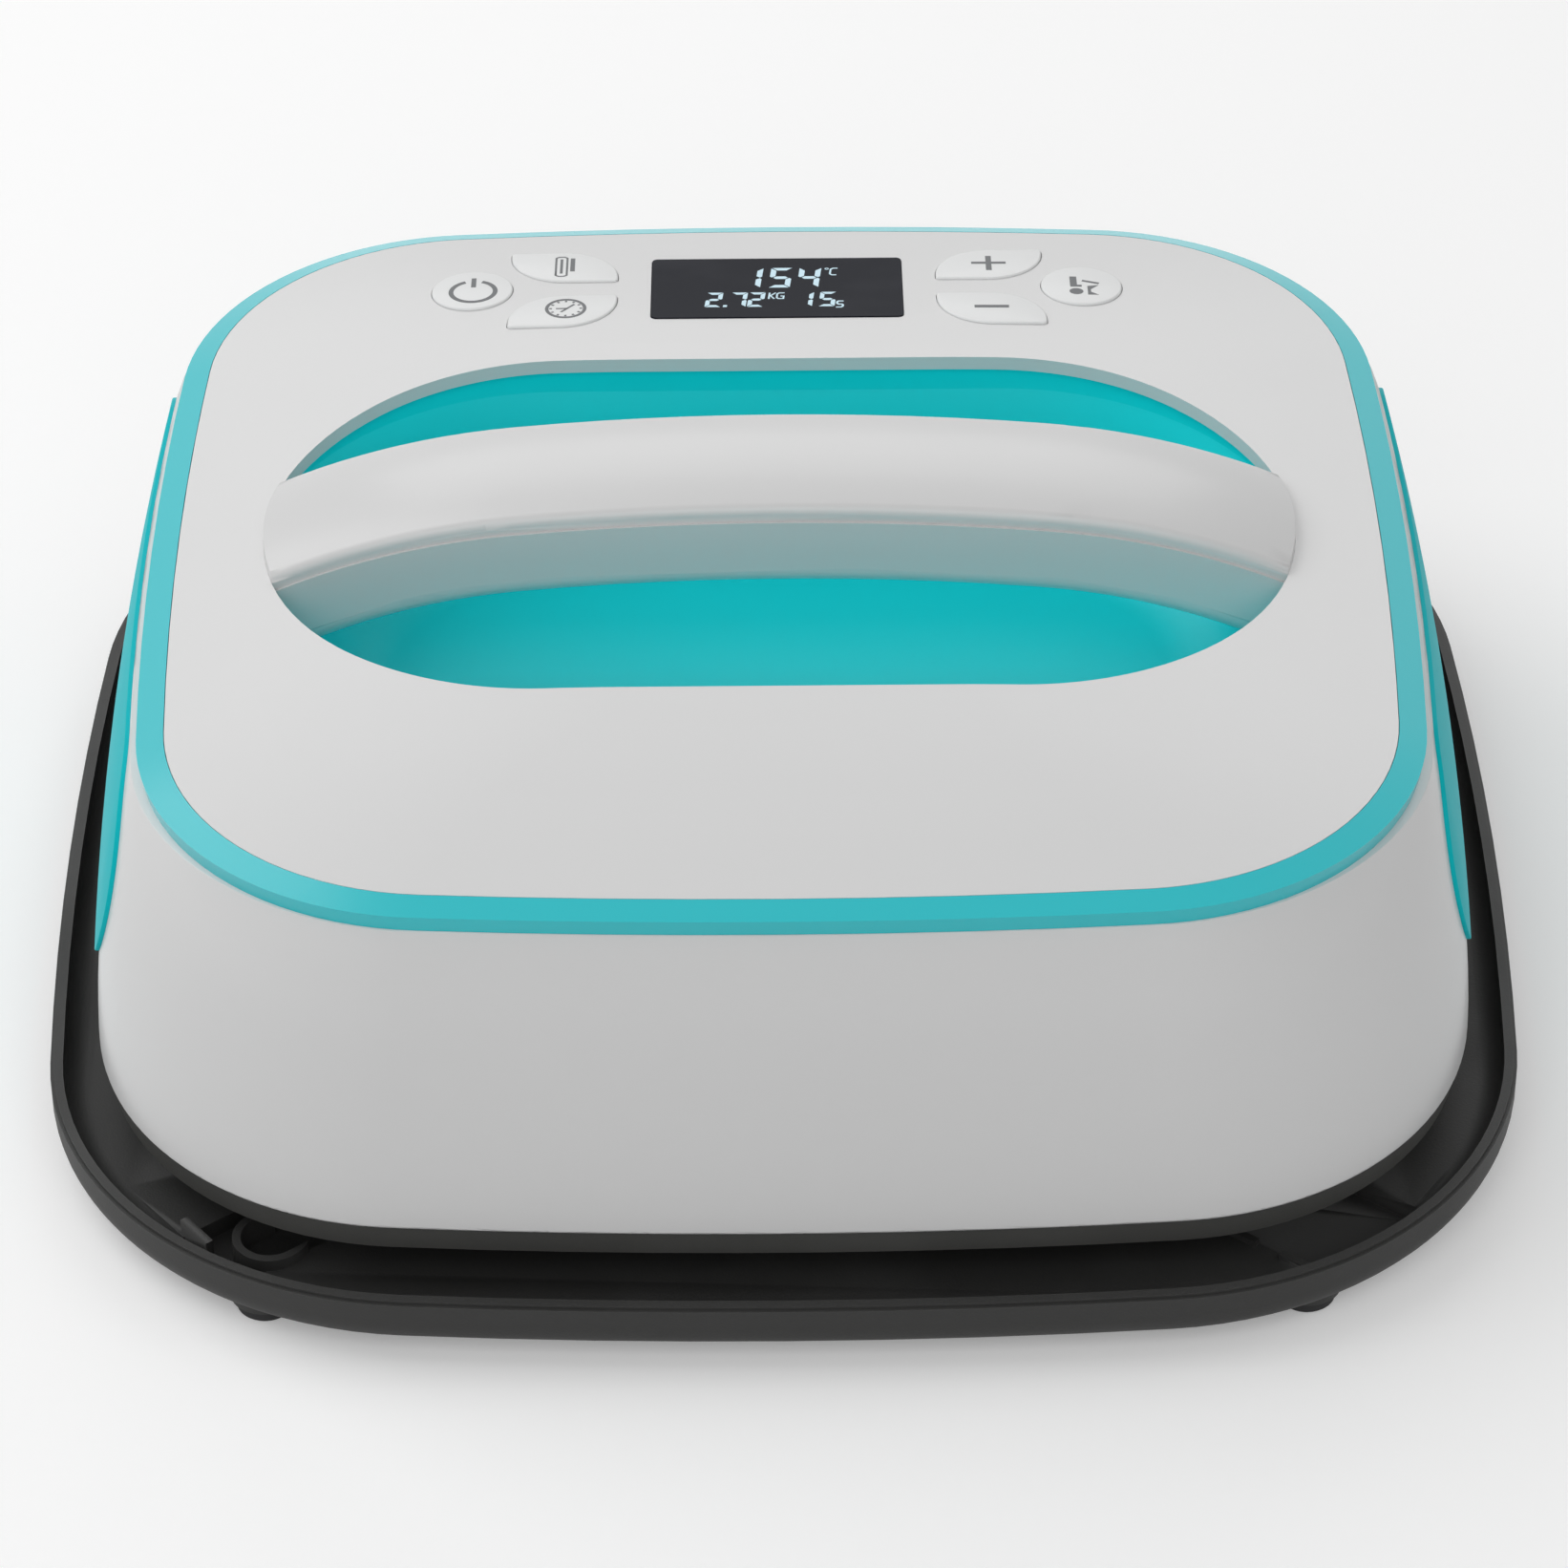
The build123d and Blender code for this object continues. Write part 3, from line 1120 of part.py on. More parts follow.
def heater_layer(inset, bolt_radius):
    """Draw a layer over the plate, with its holes for sensors, screws, bolts and tails."""
    plate_outline(-inset)
    with Locations((0, SENSOR_Y)):
        Circle(SENSOR_RADIUS + SEAT_GAP, mode=Mode.SUBTRACT)
    with Locations((0, CUTOFF_Y)):
        Circle(CUTOFF_RADIUS + SEAT_GAP, mode=Mode.SUBTRACT)
    with Locations((-ELEMENT_TAIL_X, tail_slot_y), (ELEMENT_TAIL_X, tail_slot_y)):
        Rectangle(TAIL_SLOT_WIDTH, TAIL_SLOT_LENGTH, mode=Mode.SUBTRACT)
    cell_screw_circles(CELL_SCREW_RADIUS + FIT_GAP, Mode.SUBTRACT)
    plate_bolt_circles(bolt_radius, Mode.SUBTRACT)


tail_slot_y = ELEMENT_TAIL_Y + TAIL_SLOT_LENGTH / 4

with BuildPart() as heating_element:
    add(element_tube(ELEMENT_RADIUS))
    with BuildSketch(Plane.XY.offset(plate_top + ELEMENT_TAIL_HEIGHT)):
        with Locations((-ELEMENT_TAIL_X, ELEMENT_TAIL_Y), (ELEMENT_TAIL_X, ELEMENT_TAIL_Y)):
            Circle(ELEMENT_PIN_RADIUS)
    extrude(amount=ELEMENT_PIN)
heating_element.part.label = "heating_element"
export_step(heating_element.part, "parts/heating_element.step")

with BuildPart() as heat_plate:
    with BuildSketch(Plane.XY.offset(plate_z)):
        plate_outline(0)
    extrude(amount=PLATE_THICKNESS)
    fillet(heat_plate.faces().sort_by(Axis.Z)[0].edges(), PLATE_EDGE_ROUND)
    add(element_tube(ELEMENT_RADIUS + FIT_GAP), mode=Mode.SUBTRACT)
    with BuildSketch(Plane.XY.offset(plate_top)):
        plate_bolt_circles(PLATE_BOLT_RADIUS + FIT_GAP)
    extrude(amount=-PLATE_BOLT_DEPTH - 1, mode=Mode.SUBTRACT)
heat_plate.part.label = "heat_plate"
export_step(heat_plate.part, "parts/heat_plate.step")

with BuildPart() as element_clamp:
    with BuildSketch(Plane.XY.offset(clamp_z)):
        heater_layer(CLAMP_INSET, PLATE_BOLT_RADIUS + SCREW_CLEARANCE)
    extrude(amount=CLAMP_THICKNESS)
element_clamp.part.label = "element_clamp"
export_step(element_clamp.part, "parts/element_clamp.step")

with BuildPart() as insulation_pad:
    with BuildSketch(Plane.XY.offset(insulation_z)):
        heater_layer(CLAMP_INSET, PLATE_BOLT_HEAD_RADIUS + SCREW_CLEARANCE)
    extrude(amount=INSULATION_THICKNESS)
insulation_pad.part.label = "insulation_pad"
export_step(insulation_pad.part, "parts/insulation_pad.step")

with BuildPart() as heat_shield:
    with BuildSketch(Plane.XY.offset(shield_z)):
        heater_layer(0, PLATE_BOLT_HEAD_RADIUS + SCREW_CLEARANCE)
    extrude(amount=SHIELD_THICKNESS)
    with BuildSketch(Plane.XY.offset(shield_z)):
        plate_outline(0)
        offset(amount=-SHIELD_THICKNESS, mode=Mode.SUBTRACT)
    extrude(amount=-SHIELD_SKIRT)
heat_shield.part.label = "heat_shield"
export_step(heat_shield.part, "parts/heat_shield.step")

with BuildPart() as thermistor:
    with BuildSketch(Plane.XY.offset(plate_top)):
        with Locations((0, SENSOR_Y)):
            Circle(SENSOR_RADIUS)
    extrude(amount=SENSOR_HEIGHT)
    fillet(thermistor.faces().sort_by(Axis.Z)[-1].edges(), SENSOR_RADIUS / 2)
thermistor.part.label = "thermistor"
export_step(thermistor.part, "parts/thermistor.step")

with BuildPart() as thermal_cutoff:
    with BuildSketch(Plane.XY.offset(plate_top)):
        with Locations((0, CUTOFF_Y)):
            Circle(CUTOFF_RADIUS)
    extrude(amount=CUTOFF_HEIGHT)
    with BuildSketch(Plane.XY.offset(plate_top + CUTOFF_HEIGHT)):
        with Locations((0, CUTOFF_Y)):
            Circle(CUTOFF_RADIUS / 2)
    extrude(amount=CUTOFF_HEIGHT / 4)
thermal_cutoff.part.label = "thermal_cutoff"
export_step(thermal_cutoff.part, "parts/thermal_cutoff.step")

with BuildPart() as load_cells:
    with BuildSketch(Plane.XY.offset(cell_z)):
        with GridLocations(2 * cell_spacing, 2 * cell_spacing, 2, 2):
            RectangleRounded(CELL_SIZE, CELL_SIZE, CELL_SLOT)
            Rectangle(
                CELL_BEAM + 2 * CELL_SLOT, CELL_BEAM + 2 * CELL_SLOT, mode=Mode.SUBTRACT
            )
            with Locations((0, CELL_SLOT / 2)):
                Rectangle(CELL_BEAM, CELL_BEAM + CELL_SLOT)
        cell_screw_circles(CELL_SCREW_RADIUS + SCREW_CLEARANCE, Mode.SUBTRACT)
    extrude(amount=CELL_THICKNESS)
    with BuildSketch(Plane.XY.offset(cell_z)):
        cell_screw_circles(CELL_FOOT_RADIUS)
        cell_screw_circles(CELL_SCREW_RADIUS + SCREW_CLEARANCE, Mode.SUBTRACT)
    extrude(amount=-CELL_FOOT)
load_cells.part.label = "load_cells"
export_step(load_cells.part, "parts/load_cells.step")

# ---------------------------------------------------------------------------
# Fasteners and cord entry
# ---------------------------------------------------------------------------

with BuildPart() as cell_screws:
    with BuildSketch(Plane.XY.offset(frame_z)):
        cell_screw_circles(CELL_SCREW_HEAD_RADIUS)
    extrude(amount=CELL_SCREW_HEAD)
    with BuildSketch(Plane.XY.offset(frame_z)):
        cell_screw_circles(CELL_SCREW_RADIUS)
    extrude(amount=clamp_z - frame_z)
cell_screws.part.label = "cell_screws"
export_step(cell_screws.part, "parts/cell_screws.step")

with BuildPart() as plate_bolts:
    with BuildSketch(Plane.XY.offset(insulation_z)):
        plate_bolt_circles(PLATE_BOLT_HEAD_RADIUS)
    extrude(amount=PLATE_BOLT_HEAD)
    with BuildSketch(Plane.XY.offset(insulation_z)):
        plate_bolt_circles(PLATE_BOLT_RADIUS)
    extrude(amount=plate_top - PLATE_BOLT_DEPTH - insulation_z)
plate_bolts.part.label = "plate_bolts"
export_step(plate_bolts.part, "parts/plate_bolts.step")

seat_z = frame_z - FRAME_THICKNESS
with BuildPart() as housing_screws:
    with BuildSketch(Plane.XY.offset(seat_z)):
        housing_circles(SCREW_HEAD_RADIUS)
    extrude(amount=-SCREW_HEAD)
    with BuildSketch(Plane.XY.offset(seat_z)):
        housing_circles(SCREW_RADIUS)
    extrude(amount=frame_top + SCREW_GRIP - seat_z)
housing_screws.part.label = "housing_screws"
export_step(housing_screws.part, "parts/housing_screws.step")

with BuildPart() as cover_screws:
    with BuildSketch(Plane.XY.offset(frame_z)):
        spread_circles(cover_post_x, cover_post_y, SCREW_HEAD_RADIUS)
    extrude(amount=-SCREW_HEAD)
    with BuildSketch(Plane.XY.offset(frame_z)):
        spread_circles(cover_post_x, cover_post_y, SCREW_RADIUS)
    extrude(amount=FRAME_THICKNESS + SCREW_GRIP)
cover_screws.part.label = "cover_screws"
export_step(cover_screws.part, "parts/cover_screws.step")

with BuildPart() as handle_screws:
    with BuildSketch(Plane.XY.offset(frame_z)):
        handle_post_circles(SCREW_HEAD_RADIUS)
    extrude(amount=-SCREW_HEAD)
    with BuildSketch(Plane.XY.offset(frame_z)):
        handle_post_circles(SCREW_RADIUS)
    extrude(amount=tongue_z + TONGUE_HEIGHT - 1 - frame_z)
handle_screws.part.label = "handle_screws"
export_step(handle_screws.part, "parts/handle_screws.step")

panel_board_bottom = panel_board_top - BOARD_THICKNESS
with BuildPart() as board_screws:
    with BuildSketch(Plane.XY.offset(board_top)):
        with Locations((0, power_board_y)):
            spread_circles(board_hole_x, board_hole_y, BOARD_SCREW_HEAD_RADIUS)
    extrude(amount=BOARD_SCREW_HEAD)
    with BuildSketch(Plane.XY.offset(board_top)):
        with Locations((0, power_board_y)):
            spread_circles(board_hole_x, board_hole_y, BOARD_SCREW_RADIUS)
    extrude(amount=-BOARD_THICKNESS - BOARD_SCREW_GRIP)
    with BuildSketch(on_panel(0, 0, panel_board_bottom)):
        spread_circles(PANEL_BOSS_X, PANEL_BOSS_V, BOARD_SCREW_HEAD_RADIUS)
    extrude(amount=-BOARD_SCREW_HEAD)
    with BuildSketch(on_panel(0, 0, panel_board_bottom)):
        spread_circles(PANEL_BOSS_X, PANEL_BOSS_V, BOARD_SCREW_RADIUS)
    extrude(amount=BOARD_THICKNESS + BOARD_SCREW_GRIP)
board_screws.part.label = "board_screws"
export_step(board_screws.part, "parts/board_screws.step")

with BuildPart() as cord_gland:
    with BuildSketch(rear_plane(gland_seat_y)):
        Circle(GLAND_FLANGE_RADIUS)
    extrude(amount=GLAND_FLANGE)
    fillet(cord_gland.faces().sort_by(Axis.Y)[-1].edges(), FOOT_EDGE)
    with BuildSketch(rear_plane(gland_seat_y)):
        Circle(GLAND_BODY_RADIUS)
    extrude(amount=GLAND_FLANGE - GLAND_LENGTH)
    with BuildSketch(rear_plane(gland_seat_y + GLAND_FLANGE)):
        Circle(GLAND_BORE_RADIUS)
    extrude(amount=-GLAND_LENGTH, mode=Mode.SUBTRACT)
cord_gland.part.label = "cord_gland"
export_step(cord_gland.part, "parts/cord_gland.step")

with BuildPart() as gland_nut:
    with BuildSketch(rear_plane(gland_boss_y)):
        RegularPolygon(GLAND_NUT_RADIUS, 6)
        Circle(GLAND_BODY_RADIUS + FIT_GAP, mode=Mode.SUBTRACT)
    extrude(amount=-GLAND_NUT)
gland_nut.part.label = "gland_nut"
export_step(gland_nut.part, "parts/gland_nut.step")
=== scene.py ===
"""Looks of a mini handheld heat press standing on its rest tray.

Lengths are in metres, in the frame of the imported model: +X runs along the handle,
+Y points to the rear where the key panel is, and +Z is up. Only the marks on the
panel are drawn in millimetres.
"""

import json
import logging
import math
from collections.abc import Callable, Iterable, Sequence
from dataclasses import dataclass, field
from enum import Enum
from typing import Any

import bmesh
import bpy
from mathutils import Matrix, Vector
from mathutils.bvhtree import BVHTree


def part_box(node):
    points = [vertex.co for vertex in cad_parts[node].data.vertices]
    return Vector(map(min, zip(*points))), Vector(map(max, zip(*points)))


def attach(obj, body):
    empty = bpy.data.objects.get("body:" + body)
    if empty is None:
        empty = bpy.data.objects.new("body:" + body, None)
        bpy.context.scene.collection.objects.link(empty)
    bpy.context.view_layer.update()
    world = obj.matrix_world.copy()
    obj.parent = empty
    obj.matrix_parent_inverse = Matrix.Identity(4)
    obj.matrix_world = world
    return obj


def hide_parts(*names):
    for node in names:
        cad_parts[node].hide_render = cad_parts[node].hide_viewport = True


LOG = logging.getLogger("heat_press")
MM = 0.001
Point = tuple[float, float]
Colour = tuple[float, float, float]
Field = Callable[[Vector], Vector]

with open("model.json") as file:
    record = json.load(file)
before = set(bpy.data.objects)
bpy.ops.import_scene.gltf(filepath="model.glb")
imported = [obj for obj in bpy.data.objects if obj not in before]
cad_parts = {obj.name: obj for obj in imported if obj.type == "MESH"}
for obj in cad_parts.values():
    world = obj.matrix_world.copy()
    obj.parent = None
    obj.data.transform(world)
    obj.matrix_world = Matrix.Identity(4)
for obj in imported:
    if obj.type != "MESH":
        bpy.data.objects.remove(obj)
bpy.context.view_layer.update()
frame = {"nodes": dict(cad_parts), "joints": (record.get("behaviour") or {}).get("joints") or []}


class Body(Enum):
    """The moving bodies of the press."""

    BASE = "base"
    PRESS = "press"
    POWER = "power_button_body"
    TEMPERATURE = "temperature_button_body"
    TIMER = "timer_button_body"
    PLUS = "plus_button_body"
    MINUS = "minus_button_body"
    MODE = "mode_button_body"


def linear(red: int, green: int, blue: int) -> Colour:
    """Turn an 8-bit sRGB colour into linear light.

    Args:
        red: Red, 0 to 255.
        green: Green, 0 to 255.
        blue: Blue, 0 to 255.

    Returns:
        The three channels in linear light, 0 to 1.
    """

    def one(channel: int) -> float:
        """Turn one channel into linear light."""
        share = channel / 255
        return share / 12.92 if share <= 0.04045 else ((share + 0.055) / 1.055) ** 2.4

    return one(red), one(green), one(blue)


# ---------------------------------------------------------------------------
# Shader helpers
# ---------------------------------------------------------------------------


class Value:
    """A number that varies over a surface, for use in Python arithmetic."""

    def __init__(self, shader: "Shader", socket: bpy.types.NodeSocket) -> None:
        """Keep the socket and the shader that it belongs to."""
        self.shader = shader
        self.socket = socket

    def _with(self, operation: str, first: Any, second: Any) -> "Value":
        """Add a Math node.

        Args:
            operation: The Math node's operation.
            first: The first operand, a Value or a number.
            second: The second operand, a Value or a number.

        Returns:
            The node's result.
        """
        node = self.shader.node("ShaderNodeMath", {"operation": operation}, {0: first, 1: second})
        return Value(self.shader, node.outputs[0])

    def __add__(self, other: Any) -> "Value":
        """Add a value or a number."""
        return self._with("ADD", self, other)

    def __radd__(self, other: Any) -> "Value":
        """Add to a number."""
        return self._with("ADD", other, self)

    def __sub__(self, other: Any) -> "Value":
        """Subtract a value or a number."""
        return self._with("SUBTRACT", self, other)

    def __rsub__(self, other: Any) -> "Value":
        """Subtract from a number."""
        return self._with("SUBTRACT", other, self)

    def __mul__(self, other: Any) -> "Value":
        """Multiply by a value or a number."""
        return self._with("MULTIPLY", self, other)

    def __rmul__(self, other: Any) -> "Value":
        """Multiply a number."""
        return self._with("MULTIPLY", other, self)

    def at_least(self, other: Any) -> "Value":
        """Keep the larger of this and another value."""
        return self._with("MAXIMUM", self, other)

    def above(self, level: float) -> "Value":
        """Give 1 where the value is above a level, 0 elsewhere."""
        return self._with("GREATER_THAN", self, level)


class Shader:
    """A material, or a world's background, under construction."""

    def __init__(self, name: str, world: bpy.types.World | None = None) -> None:
        """Start with one surface.

        Args:
            name: The material's name.
            world: The world to shade instead of a new material.
        """
        self.material = world or bpy.data.materials.new(name)
        self.material.use_nodes = True
        self.tree = self.material.node_tree
        self.surface = self.tree.nodes["Background" if world else "Principled BSDF"]
        self._place: bpy.types.Node | None = None

    def node(
        self,
        kind: str,
        settings: dict[str, Any] | None = None,
        inputs: dict[int | str, Any] | None = None,
    ) -> bpy.types.Node:
        """Add any node.

        Args:
            kind: The node's type.
            settings: Properties that are set before its sockets.
            inputs: Values or links of its sockets, by index or name.

        Returns:
            The new node.
        """
        made = self.tree.nodes.new(kind)
        for key, setting in (settings or {}).items():
            if key == "stops":
                self._set_stops(made.color_ramp, setting)
            else:
                setattr(made, key, setting)
        for key, wanted in (inputs or {}).items():
            self.feed(made.inputs[key], wanted)
        return made

    def _set_stops(self, ramp: bpy.types.ColorRamp, stops: Sequence[tuple[float, float]]) -> None:
        """Set a ramp's grey stops.

        Args:
            ramp: The ramp to set.
            stops: Pairs of position and brightness.
        """
        while len(ramp.elements) < len(stops):
            ramp.elements.new(1.0)
        for element, (position, level) in zip(ramp.elements, stops, strict=True):
            element.position = position
            element.color = (level, level, level, 1.0)

    def feed(self, socket: bpy.types.NodeSocket, wanted: Any) -> None:
        """Set a socket, or link something to it.

        Args:
            socket: The socket to feed.
            wanted: A Value, a socket, a colour or a number.
        """
        if isinstance(wanted, Value):
            self.tree.links.new(wanted.socket, socket)
        elif isinstance(wanted, bpy.types.NodeSocket):
            self.tree.links.new(wanted, socket)
        elif isinstance(wanted, tuple) and len(wanted) == 3 and socket.type == "RGBA":
            socket.default_value = (*wanted, 1.0)
        else:
            socket.default_value = wanted

    def place(self, stretch: tuple[float, float, float] = (1.0, 1.0, 1.0)) -> bpy.types.NodeSocket:
        """Give the piece's own coordinates, in metres.

        Args:
            stretch: Factors that squeeze or stretch a pattern along X, Y and Z.

        Returns:
            A vector socket.
        """
        if self._place is None:
            self._place = self.node("ShaderNodeTexCoord")
        mapping = self.node(
            "ShaderNodeMapping", {}, {"Vector": self._place.outputs["Object"], "Scale": stretch}
        )
        return mapping.outputs["Vector"]

    def noise(
        self,
        size: float,
        detail: float = 3.0,
        stretch: tuple[float, float, float] = (1.0, 1.0, 1.0),
    ) -> Value:
        """Add a soft random pattern.

        Args:
            size: Size of its largest blotches, in metres.
            detail: How many finer layers it has.
            stretch: Factors along X, Y and Z.

        Returns:
            A value from 0 to 1.
        """
        made = self.node(
            "ShaderNodeTexNoise",
            {},
            {"Vector": self.place(stretch), "Scale": 1 / size, "Detail": detail},
        )
        return Value(self, made.outputs[0])

    def seen(self) -> Value:
        """Tell the rays that show the surface itself, in a view, a mirror or glass.

        Returns:
            A value that is 1 for such rays and 0 for others.
        """
        path = self.node("ShaderNodeLightPath")
        in_view = Value(self, path.outputs["Is Camera Ray"])
        in_gloss = Value(self, path.outputs["Is Glossy Ray"])
        return in_view.at_least(in_gloss).at_least(Value(self, path.outputs["Is Transmission Ray"]))

    def away(self) -> Value:
        """Give the distance from the piece's origin, in metres."""
        made = self.node("ShaderNodeVectorMath", {"operation": "LENGTH"}, {0: self.place()})
        return Value(self, made.outputs["Value"])

    def cells(self, size: float) -> Value:
        """Add a pattern of cells, as distance from each cell's middle.

        Args:
            size: Size of a cell, in metres.

        Returns:
            A value from 0 upwards.
        """
        made = self.node("ShaderNodeTexVoronoi", {}, {"Vector": self.place(), "Scale": 1 / size})
        return Value(self, made.outputs["Distance"])

    def ramp(self, value: Value, *stops: tuple[float, float]) -> Value:
        """Reshape a value with a ramp.

        Args:
            value: The value to reshape.
            stops: Pairs of position and result.

        Returns:
            The reshaped value.
        """
        made = self.node("ShaderNodeValToRGB", {"stops": stops}, {0: value})
        return Value(self, made.outputs[0])

    def edges(self, radius: float) -> Value:
        """Mark the edges of a piece.

        Args:
            radius: Width of the band along an edge, in metres.

        Returns:
            A value that is 0 on flats and rises towards 1 along edges.
        """
        rounded = self.node("ShaderNodeBevel", {"samples": 4}, {"Radius": radius})
        geometry = self.node("ShaderNodeNewGeometry")
        facing = self.node(
            "ShaderNodeVectorMath",
            {"operation": "DOT_PRODUCT"},
            {0: rounded.outputs["Normal"], 1: geometry.outputs["Normal"]},
        )
        return self.ramp(1.0 - Value(self, facing.outputs["Value"]), (0.02, 0.0), (0.2, 1.0))

    def blend(self, share: Any, low: Any, high: Any) -> bpy.types.NodeSocket:
        """Mix two colours.

        Args:
            share: How much of the second colour, a Value or a number.
            low: The first colour.
            high: The second colour.

        Returns:
            A colour socket.
        """
        made = self.node(
            "ShaderNodeMix", {"data_type": "RGBA"}, {"Factor": share, 6: low, 7: high}
        )
        return made.outputs[2]

    def bump(self, height: Value, depth: float) -> bpy.types.NodeSocket:
        """Turn a height into a normal.

        Args:
            height: The height pattern, 0 to 1.
            depth: Its real depth, in metres.

        Returns:
            A normal socket.
        """
        made = self.node(
            "ShaderNodeBump", {}, {"Strength": 1.0, "Distance": depth, "Height": height}
        )
        return made.outputs["Normal"]

    def set(self, **sockets: Any) -> None:
        """Feed the surface's sockets; an underscore in a name stands for a space."""
        for key, wanted in sockets.items():
            self.feed(self.surface.inputs[key.replace("_", " ")], wanted)


# ---------------------------------------------------------------------------
# Finishes
# ---------------------------------------------------------------------------


@dataclass(frozen=True)
class MouldedPlastic:
    """Injection-moulded plastic: faint flow marks, a fine orange peel and a polished skin."""

    name: str
    colour: Colour
    shade: Colour
    roughness: float
    coat: float = 0.0
    coat_roughness: float = 0.2
    specular: float = 0.4
    peel: float = 1.6 * MM
    peel_depth: float = 0.003 * MM

    def material(self) -> bpy.types.Material:
        """Build the material.

        Returns:
            A new material.
        """
        shader = Shader(self.name)
        flow = shader.noise(45 * MM, 3.0, (0.35, 1.0, 1.0))
        fine = shader.noise(0.35 * MM, 2.0)
        handling = shader.noise(30 * MM, 2.0)
        peel = shader.noise(self.peel, 1.0)
        shader.set(
            Base_Color=shader.blend(flow * 0.7 + fine * 0.3, self.colour, self.shade),
            Roughness=self.roughness + 0.06 * (handling - 0.5) + 0.04 * (fine - 0.5),
            Specular_IOR_Level=self.specular,
            Coat_Weight=self.coat,
            Coat_Roughness=self.coat_roughness,
            Normal=shader.bump(peel, self.peel_depth),
        )
        return shader.material


@dataclass(frozen=True)
class GrainedPlastic:
    """Dark plastic with a spark-eroded grain, a little dust and paler edges."""

    name: str
    colour: Colour
    dust: Colour
    roughness: float
    grain: float = 0.5 * MM
    grain_depth: float = 0.03 * MM

    def material(self) -> bpy.types.Material:
        """Build the material.

        Returns:
            A new material.
        """
        shader = Shader(self.name)
        grain = shader.cells(self.grain)
        fine = shader.noise(self.grain / 2, 3.0)
        cloud = shader.ramp(shader.noise(35 * MM, 5.0), (0.45, 0.0), (0.75, 1.0))
        speck = shader.noise(1.4 * MM, 2.0).above(0.69)
        edge = shader.edges(0.5 * MM)
        dusted = shader.blend(cloud * 0.25 + speck * 0.10, self.colour, self.dust)
        shader.set(
            Base_Color=shader.blend(edge * 0.5, dusted, self.dust),
            Roughness=self.roughness + 0.12 * (cloud - 0.5) - 0.06 * edge,
            Normal=shader.bump(grain * 0.7 + fine * 0.3, self.grain_depth),
        )
        return shader.material


@dataclass(frozen=True)
class Metal:
    """Metal with brushing along X, stains and brighter edges."""

    name: str
    colour: Colour
    stain: Colour
    roughness: float
    metallic: float = 1.0
    brush: float = 0.3 * MM

    def material(self) -> bpy.types.Material:
        """Build the material.

        Returns:
            A new material.
        """
        shader = Shader(self.name)
        brushed = shader.noise(self.brush, 3.0, (0.06, 1.0, 1.0))
        stain = shader.ramp(shader.noise(22 * MM, 5.0), (0.45, 0.0), (0.7, 1.0))
        shader.set(
            Base_Color=shader.blend(stain * 0.5, self.colour, self.stain),
            Metallic=self.metallic,
            Roughness=self.roughness + 0.15 * (brushed - 0.5) + 0.12 * stain,
            Normal=shader.bump(brushed, 0.006 * MM),
        )
        return shader.material


@dataclass(frozen=True)
class CoatedPlate:
    """Non-stick coating with a fine fleck over cast aluminium."""

    name: str
    colour: Colour
    fleck: Colour
    roughness: float

    def material(self) -> bpy.types.Material:
        """Build the material.

        Returns:
            A new material.
        """
        shader = Shader(self.name)
        fleck = shader.ramp(shader.cells(0.9 * MM), (0.10, 1.0), (0.2, 0.0))
        sparse = shader.noise(1.1 * MM, 1.0).above(0.55)
        orange_peel = shader.noise(1.6 * MM, 2.0)
        rub = shader.ramp(shader.noise(40 * MM, 5.0, (0.3, 1.0, 1.0)), (0.4, 0.0), (0.8, 1.0))
        shader.set(
            Base_Color=shader.blend(fleck * sparse * 0.6, self.colour, self.fleck),
            Roughness=self.roughness + 0.12 * rub,
            Metallic=0.15,
            Normal=shader.bump(orange_peel, 0.02 * MM),
        )
        return shader.material


@dataclass(frozen=True)
class CircuitBoard:
    """Solder-masked board with tracks that run in two directions and tinned dots."""

    name: str
    mask: Colour
    track: Colour
    pad: Colour

    def material(self) -> bpy.types.Material:
        """Build the material.

        Returns:
            A new material.
        """
        shader = Shader(self.name)
        along = shader.noise(5 * MM, 1.0, (0.12, 1.0, 1.0))
        across = shader.noise(5 * MM, 1.0, (1.0, 0.12, 1.0))
        tracks = shader.ramp(along.at_least(across), (0.50, 0.0), (0.52, 1.0))
        pads = shader.ramp(shader.cells(3.2 * MM), (0.16, 1.0), (0.2, 0.0))
        painted = shader.blend(tracks * 0.8, self.mask, self.track)
        shader.set(
            Base_Color=shader.blend(pads, painted, self.pad),
            Metallic=pads * 0.9,
            Roughness=0.32 + 0.08 * tracks,
            Normal=shader.bump(tracks, 0.035 * MM),
        )
        return shader.material


@dataclass(frozen=True)
class Felt:
    """Matted fibres with clumps."""

    name: str
    colour: Colour
    shade: Colour

    def material(self) -> bpy.types.Material:
        """Build the material.

        Returns:
            A new material.
        """
        shader = Shader(self.name)
        fibre = shader.noise(0.5 * MM, 6.0, (0.25, 1.0, 1.0))
        clump = shader.noise(7 * MM, 4.0)
        shader.set(
            Base_Color=shader.blend(fibre * 0.5 + clump * 0.5, self.shade, self.colour),
            Roughness=0.9,
            Sheen_Weight=0.4,
            Normal=shader.bump(fibre * 0.6 + clump * 0.4, 0.25 * MM),
        )
        return shader.material


